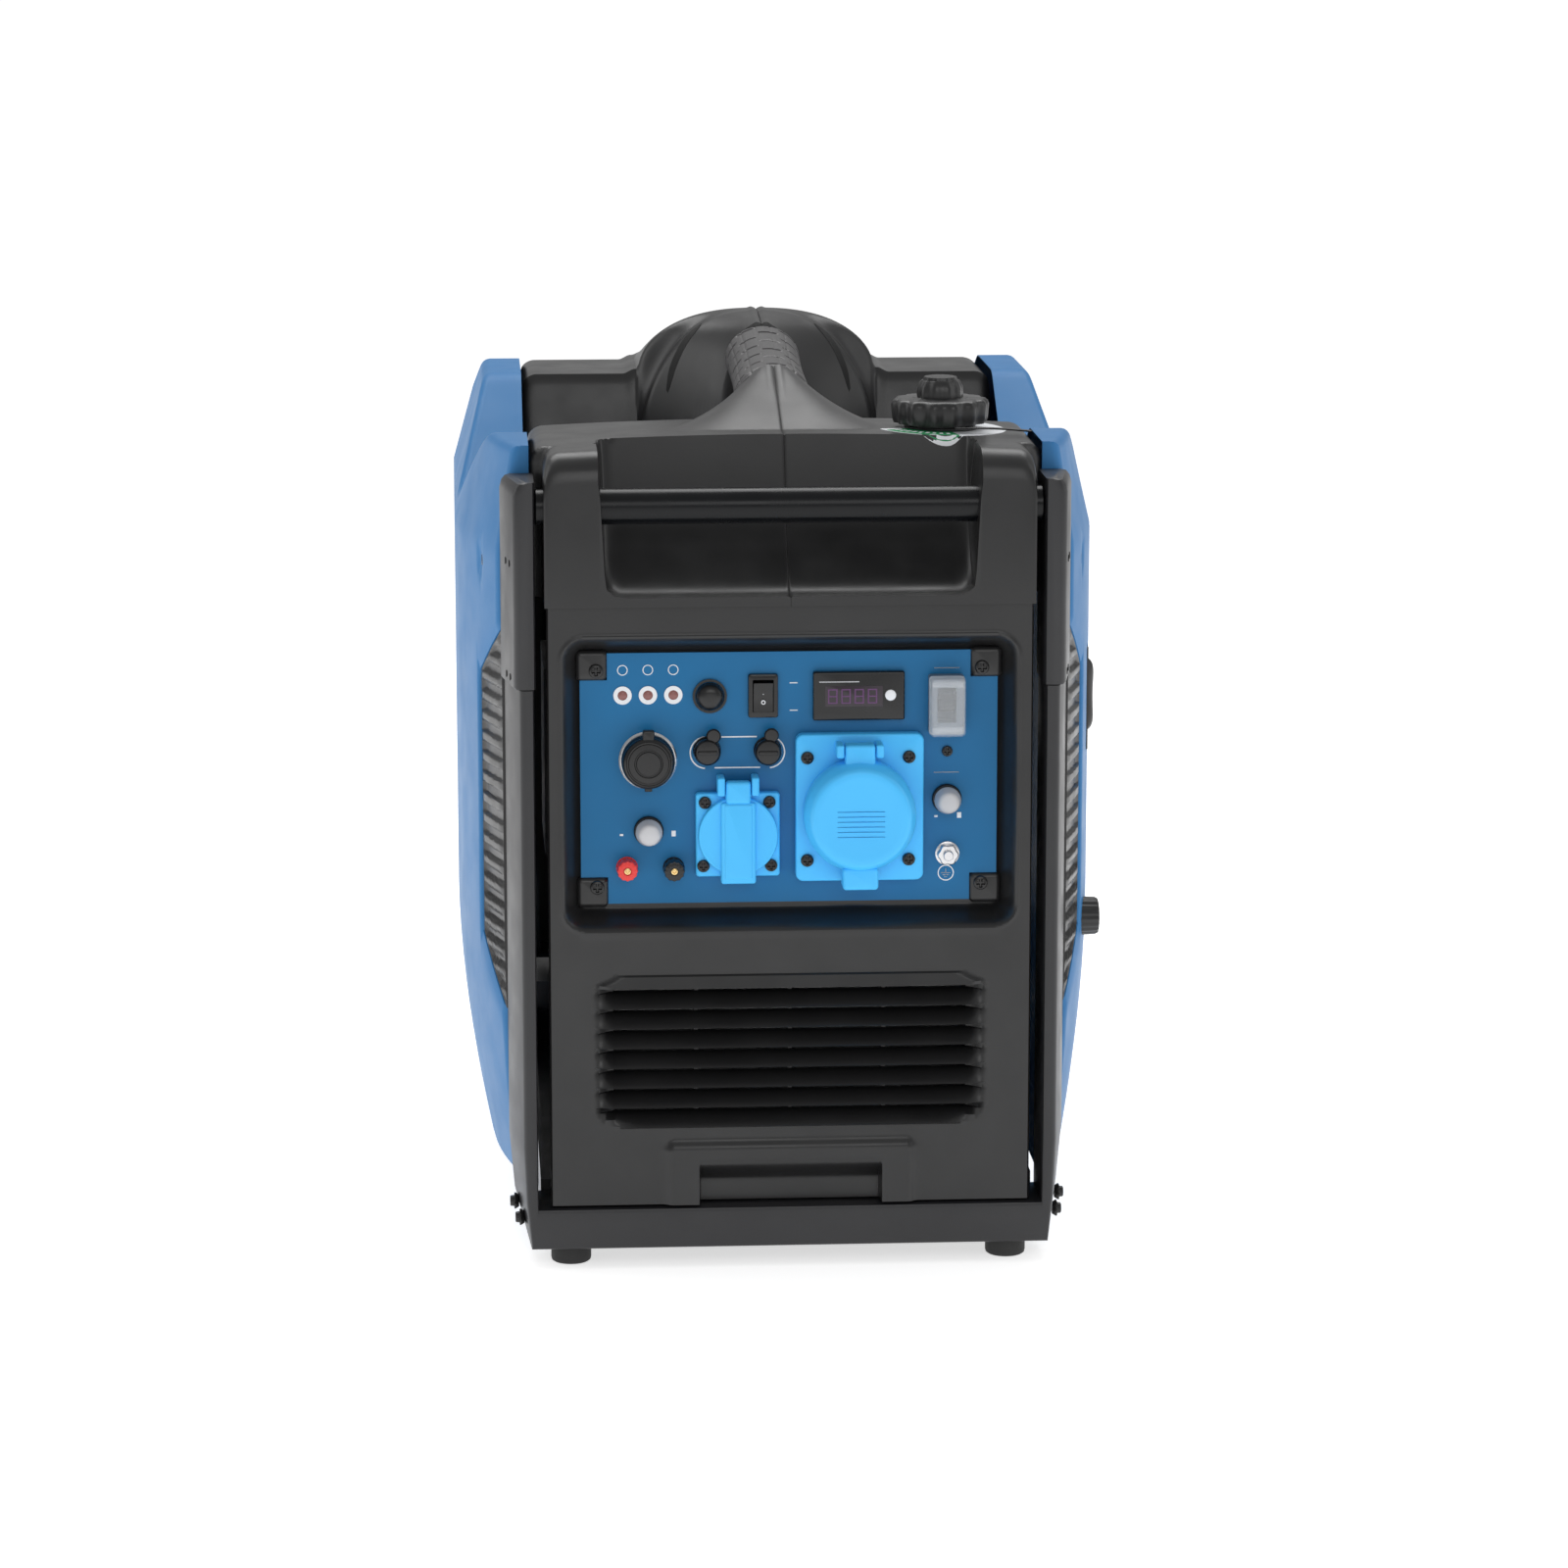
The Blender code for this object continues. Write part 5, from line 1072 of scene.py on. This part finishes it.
deck_ring("filler_print", -160, 62, 0.0225, 0.0395, 0.00025, print_white)
deck_ring("filler_print_green", -150, -78, 0.0235, 0.0385, 0.00045, print_green)
for k in range(9):
    deck_ring("filler_arrow_%d" % k, -146 + 7.2 * k, -142.5 + 7.2 * k, 0.0300, 0.0350, 0.0006,
              print_white)
u = np.linspace(0, 1, 33)
v = around(16)
uu, vv = np.meshgrid(u, v, indexing="ij")
x = cap_x + 0.006 + 0.047 * uu
d = cap_d - 0.0315 + 0.012 * uu + 0.0016 * np.cos(vv)
z = 0.4926 - 0.0035 * uu ** 2 + 0.0007 * np.sin(vv)
settle(capped("keeper_strap", at(x, d, z), switch_black), "case", "black_plastic")

# ---- Side covers -------------------------------------------------------------
# Blue mouldings that bulge away from the frame, with a window at the front for the
# black air vent and two peaks that rise beside the crest and the ridge.
cover_blue = moulded("cover_blue", (0.030, 0.170, 0.400), 0.46, grain=450.0, depth=0.03,
                     mottle=0.04, shine=0.30)
side_front, side_rear, rim_x = 0.046, 0.562, top_half + 0.0003
peaks = ((side_front, 0.488), (0.115, 0.488), (0.215, 0.437), (0.250, 0.437), (0.338, 0.497),
         (0.430, 0.497), (0.500, 0.468), (side_rear, 0.440))


def side_top(d):
    """Upper edge of the cover, with its corners rounded by averaging over a short run."""
    at, high = np.array(peaks).T
    return sum(np.interp(d + shift, at, high)
               for shift in np.linspace(-0.007, 0.007, 9)) / 9 - 0.0002


def side_out(d, z):
    """Sideways reach of the cover: bulging back from the frame, tucked in at top and foot."""
    t = np.clip((d - side_front) / 0.160, 0, 1)
    x = 0.195 - 0.025 * (1 - t) ** 2.2
    x = x - 0.020 * np.clip((d - 0.47) / 0.092, 0, 1) ** 2
    x = x - np.where(z < 0.200, (0.009 + 0.014 * t) * (np.clip(0.200 - z, 0, 1) / 0.155) ** 2, 0)
    return x - np.where(z > 0.425, (0.010 + 0.008 * t) * np.clip(z - 0.425, 0, 1) / 0.065, 0)


stations = lines((side_front, side_front + 0.006, 7), (0.052, 0.0875, 22), (0.0880, 0.0885, 2),
                 (0.0895, 0.0920, 4), (0.0940, 0.1130, 8), (0.1130, 0.1470, 13),
                 (0.1470, 0.556, 134), (0.5565, side_rear, 8))
back = np.clip((stations - side_front) / 0.042, 0, 1)
foot_z = 0.046 + 0.072 * smooth(0.425, 0.455, stations)
vent_low = np.maximum(0.148 + 0.040 * back, foot_z + 0.02)
vent_high = 0.380 - 0.032 * back
roof = side_top(stations)
middle = np.concatenate([np.linspace(0, 0.631, 14), np.linspace(0.631, 1, 8)[1:]])
upper = 1 - (1 - np.linspace(0, 1, 28)) ** 1.7
upper[1] = 0.046
ease_in = np.array([0, 0.02, 0.05, 0.09, 0.14, 0.20, 0.27, 0.35, 0.44, 0.54, 0.64, 0.75, 0.86,
                    0.95, 1.0])
heights = np.concatenate([
    foot_z[:, None] + (vent_low - foot_z)[:, None] * ease_in[None, :],
    vent_low[:, None] + (vent_high - vent_low)[:, None] * middle[None, 1:],
    vent_high[:, None] + (roof - vent_high)[:, None] * upper[None, 1:]], 1)
reach_d = np.repeat(stations[:, None], heights.shape[1], 1)
solid = np.ones((heights.shape[0] - 1, heights.shape[1] - 1), bool)
solid[:np.searchsorted(stations, 0.0878), 14:34] = False


def eased(gap, radius=0.0045):
    """How far a rounded edge falls back at a distance from the rim."""
    near = np.clip(radius - gap, 0, radius)
    return radius - np.sqrt(radius ** 2 - near ** 2)


edge_gap = np.minimum(np.minimum(roof[:, None] - heights, heights - foot_z[:, None]),
                      np.minimum(reach_d - side_front, side_rear - reach_d))
window_gap = np.maximum(reach_d - 0.0880, np.maximum(vent_low[:, None] - heights,
                                                     heights - vent_high[:, None]))
outside = side_out(reach_d, heights) - eased(edge_gap)
outside = outside - 0.6 * eased(np.clip(window_gap, 0, 1), 0.0025)
bolt_d, bolt_z = 0.0805, 0.4155
oval = ((reach_d - bolt_d) / 0.0050) ** 2 + ((heights - bolt_z) / 0.0075) ** 2
outside = outside - 0.0015 * smooth(1.6, 0.9, oval)
for word, side in (("left", -1), ("right", 1)):
    outer = at(side * outside, reach_d, heights)
    inner = at(side * (outside - wall), reach_d, heights)
    kept = solid.copy()
    if side > 0:
        kept[(stations[:-1] > 0.1125) & (stations[1:] < 0.1475), 27:35] = False
    lip = (edge_gap < 0.0008)
    inner[..., 0] = np.where(lip, side * rim_x, inner[..., 0])
    settle(shell("cover_side_" + word, outer, inner, kept, cover_blue, 40), "case", "blue_cover",
           "side_cover_" + word)
    place = (side * (side_out(bolt_d, bolt_z) - 0.0022), bolt_d, bolt_z)
    lathe("cover_bolt_" + word, [(0.0036, -0.001), (0.0036, 0.0006), (0.0030, 0.0010),
                                 (0.0018, 0.0010), (0.0016, 0.0002), (0.0003, 0.0002)], place,
          word)
    p, q = np.meshgrid(np.linspace(0, 1, 17), np.linspace(0, 1, 225), indexing="ij")
    d = side_front + 0.0008 + p * (0.0872 - side_front - 0.0008)
    low = 0.148 + 0.040 * (d - side_front) / 0.042 + 0.0006
    high = 0.380 - 0.032 * (d - side_front) / 0.042 - 0.0006
    z = low + q * (high - low)
    rib = smooth(0.35, 0.60, abs(((z - 0.14) / 0.0125) % 1.0 - 0.5) * 2)
    within = smooth(0.0, 0.10, np.minimum(np.minimum(p, 1 - p), np.minimum(q, 1 - q) * 5))
    skin = side_out(d, z) - 0.0015 - 0.0024 * rib * within - 0.0006 * (1 - within)
    outer = at(side * skin, d, z)
    inner = at(side * (side_out(d, z) - 0.0058), d, z)
    settle(shell("vent_" + word, outer, inner, np.ones((16, 224), bool), case_black), "case",
           "black_plastic", "side_vent_" + word)

# ---- Recoil handle and engine switch -----------------------------------------
# Both stand out of the right side: the moulded handle of the starter rope, a little
# slimmer at its middle, and the fluted knob that turns fuel and engine on and off.
(handle_x, handle_d, handle_z), (half_wide, half_deep, half_tall) = placed(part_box("recoil_handle"))
rows = np.linspace(-1, 1, 41)
turn = around(40)
s, t = np.meshgrid(rows, turn, indexing="ij")
fat = np.clip(1 - abs(s) ** 5, 0.0, 1) ** 0.5 * (0.80 + 0.20 * s ** 2) + 0.02
grid = at(handle_x + half_wide * fat * np.cos(t), handle_d + half_deep * fat * np.sin(t),
          handle_z + half_tall * s)
settle(capped("pull_handle", grid, case_black), "recoil_grip", "black_plastic", "recoil_handle")
(knob_x, knob_d, knob_z), (half_out, _, kr) = placed(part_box("engine_switch_knob"))
out = 2 * half_out
lathe("run_knob", [(kr * 0.80, 0.0), (kr * 0.96, 0.0006), (kr * 0.97, out * 0.25),
                   (kr * 0.90, out * 0.45), (kr * 0.86, out * 0.92), (kr * 0.80, out - 0.0003),
                   (kr * 0.70, out), (0.0004, out)], (knob_x - half_out, knob_d, knob_z), "right",
      case_black, "switch_knob", "black_plastic", ("engine_switch_knob",), 96, 18, 0.025)

# ---- Frame bolts, feet and wheels --------------------------------------------
# Flanged bolts low on the outer faces of the frame. The front stands on round rubber
# feet, the rear on moulded wheels with solid tyres.
foot_rubber = moulded("foot_rubber", (0.020, 0.020, 0.020), 0.70, grain=900.0, depth=0.3)
for side in (-1, 1):
    word = "left" if side < 0 else "right"
    for k, (d, z) in enumerate(((0.0180, 0.0280), (0.0330, 0.0340))):
        reach = 0.158 + 0.0086 * d / post_depth - 0.0012
        lathe("frame_bolt_%s_%d" % (word, k), [(0.0036, -0.002), (0.0048, 0.0), (0.0048, 0.0008),
                                               (0.0034, 0.0011), (0.0032, 0.0030),
                                               (0.0027, 0.0034), (0.0003, 0.0034)],
              (side * reach, d, z), word, switch_black, "case", "frame_black", steps=36, lobes=6,
              lobe=0.05)
    low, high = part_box("foot_" + word)
    lathe("pad_" + word, [(0.0105, 0.0), (0.0116, 0.0008), (0.0120, 0.0022),
                          (0.0120, high[2] - low[2])], (side * 0.1305, 0.022, low[2]), "up",
          foot_rubber, "case", "rubber", ("foot_" + word,))
    (wheel_x, wheel_d, wheel_z), (half_wide, _, r) = placed(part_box("wheel_" + word))
    wide = 2 * half_wide
    tread = [(r, 0.0060)]
    for low_share, high_share in ((0.35, 0.44), (0.56, 0.65)):
        tread += [(r, wide * low_share), (r * 0.975, wide * (low_share + 0.02)),
                  (r * 0.975, wide * (high_share - 0.02)), (r, wide * high_share)]
    tread += [(r, wide - 0.0060)]
    hub_in = [(0.0068, 0.0008), (0.012, 0.0), (r * 0.60, 0.0015), (r * 0.64, 0.0),
              (r * 0.92, 0.0), (r * 0.985, 0.0022)]
    hub_out = [(r * 0.985, wide - 0.0022), (r * 0.92, wide), (r * 0.64, wide),
               (r * 0.60, wide - 0.0040), (0.013, wide - 0.0040), (0.012, wide - 0.0004),
               (0.0068, wide - 0.0004)]
    lathe("tyre_" + word, hub_in + tread + hub_out,
          (wheel_x - side * half_wide, wheel_d, wheel_z), word, foot_rubber, "wheel_" + word,
          "tyre", ("wheel_" + word,), 72)

# ---- Everything kept as it was packed ----------------------------------------
# Inner machinery, the panel plate, the rear cover and the tray keep their packed
# shape and only take a finish.
panel_blue = moulded("panel_blue", (0.006, 0.140, 0.330), 0.42, grain=450.0, depth=0.05,
                     mottle=0.06, shine=0.3)
cast_alloy = moulded("cast_alloy", (0.60, 0.60, 0.61), 0.45, grain=500.0, depth=0.4, metal=1.0)
finishes = {"black_plastic": case_black, "frame_black": frame_coat, "blue_cover": cover_blue,
            "panel_blue": panel_blue, "socket_blue": socket_blue, "switch_black": switch_black,
            "terminal_red": terminal_red, "boot_white": boot_clear, "clear_cover": flap_clear,
            "rubber": foot_rubber, "tyre": foot_rubber, "steel": bright_steel,
            "aluminium": cast_alloy, "brass": jack_brass}
for thing in bpy.data.objects:
    if thing.type == "MESH":
        for place in thing.material_slots:
            if place.material and place.material.name in finishes:
                place.material = finishes[place.material.name]
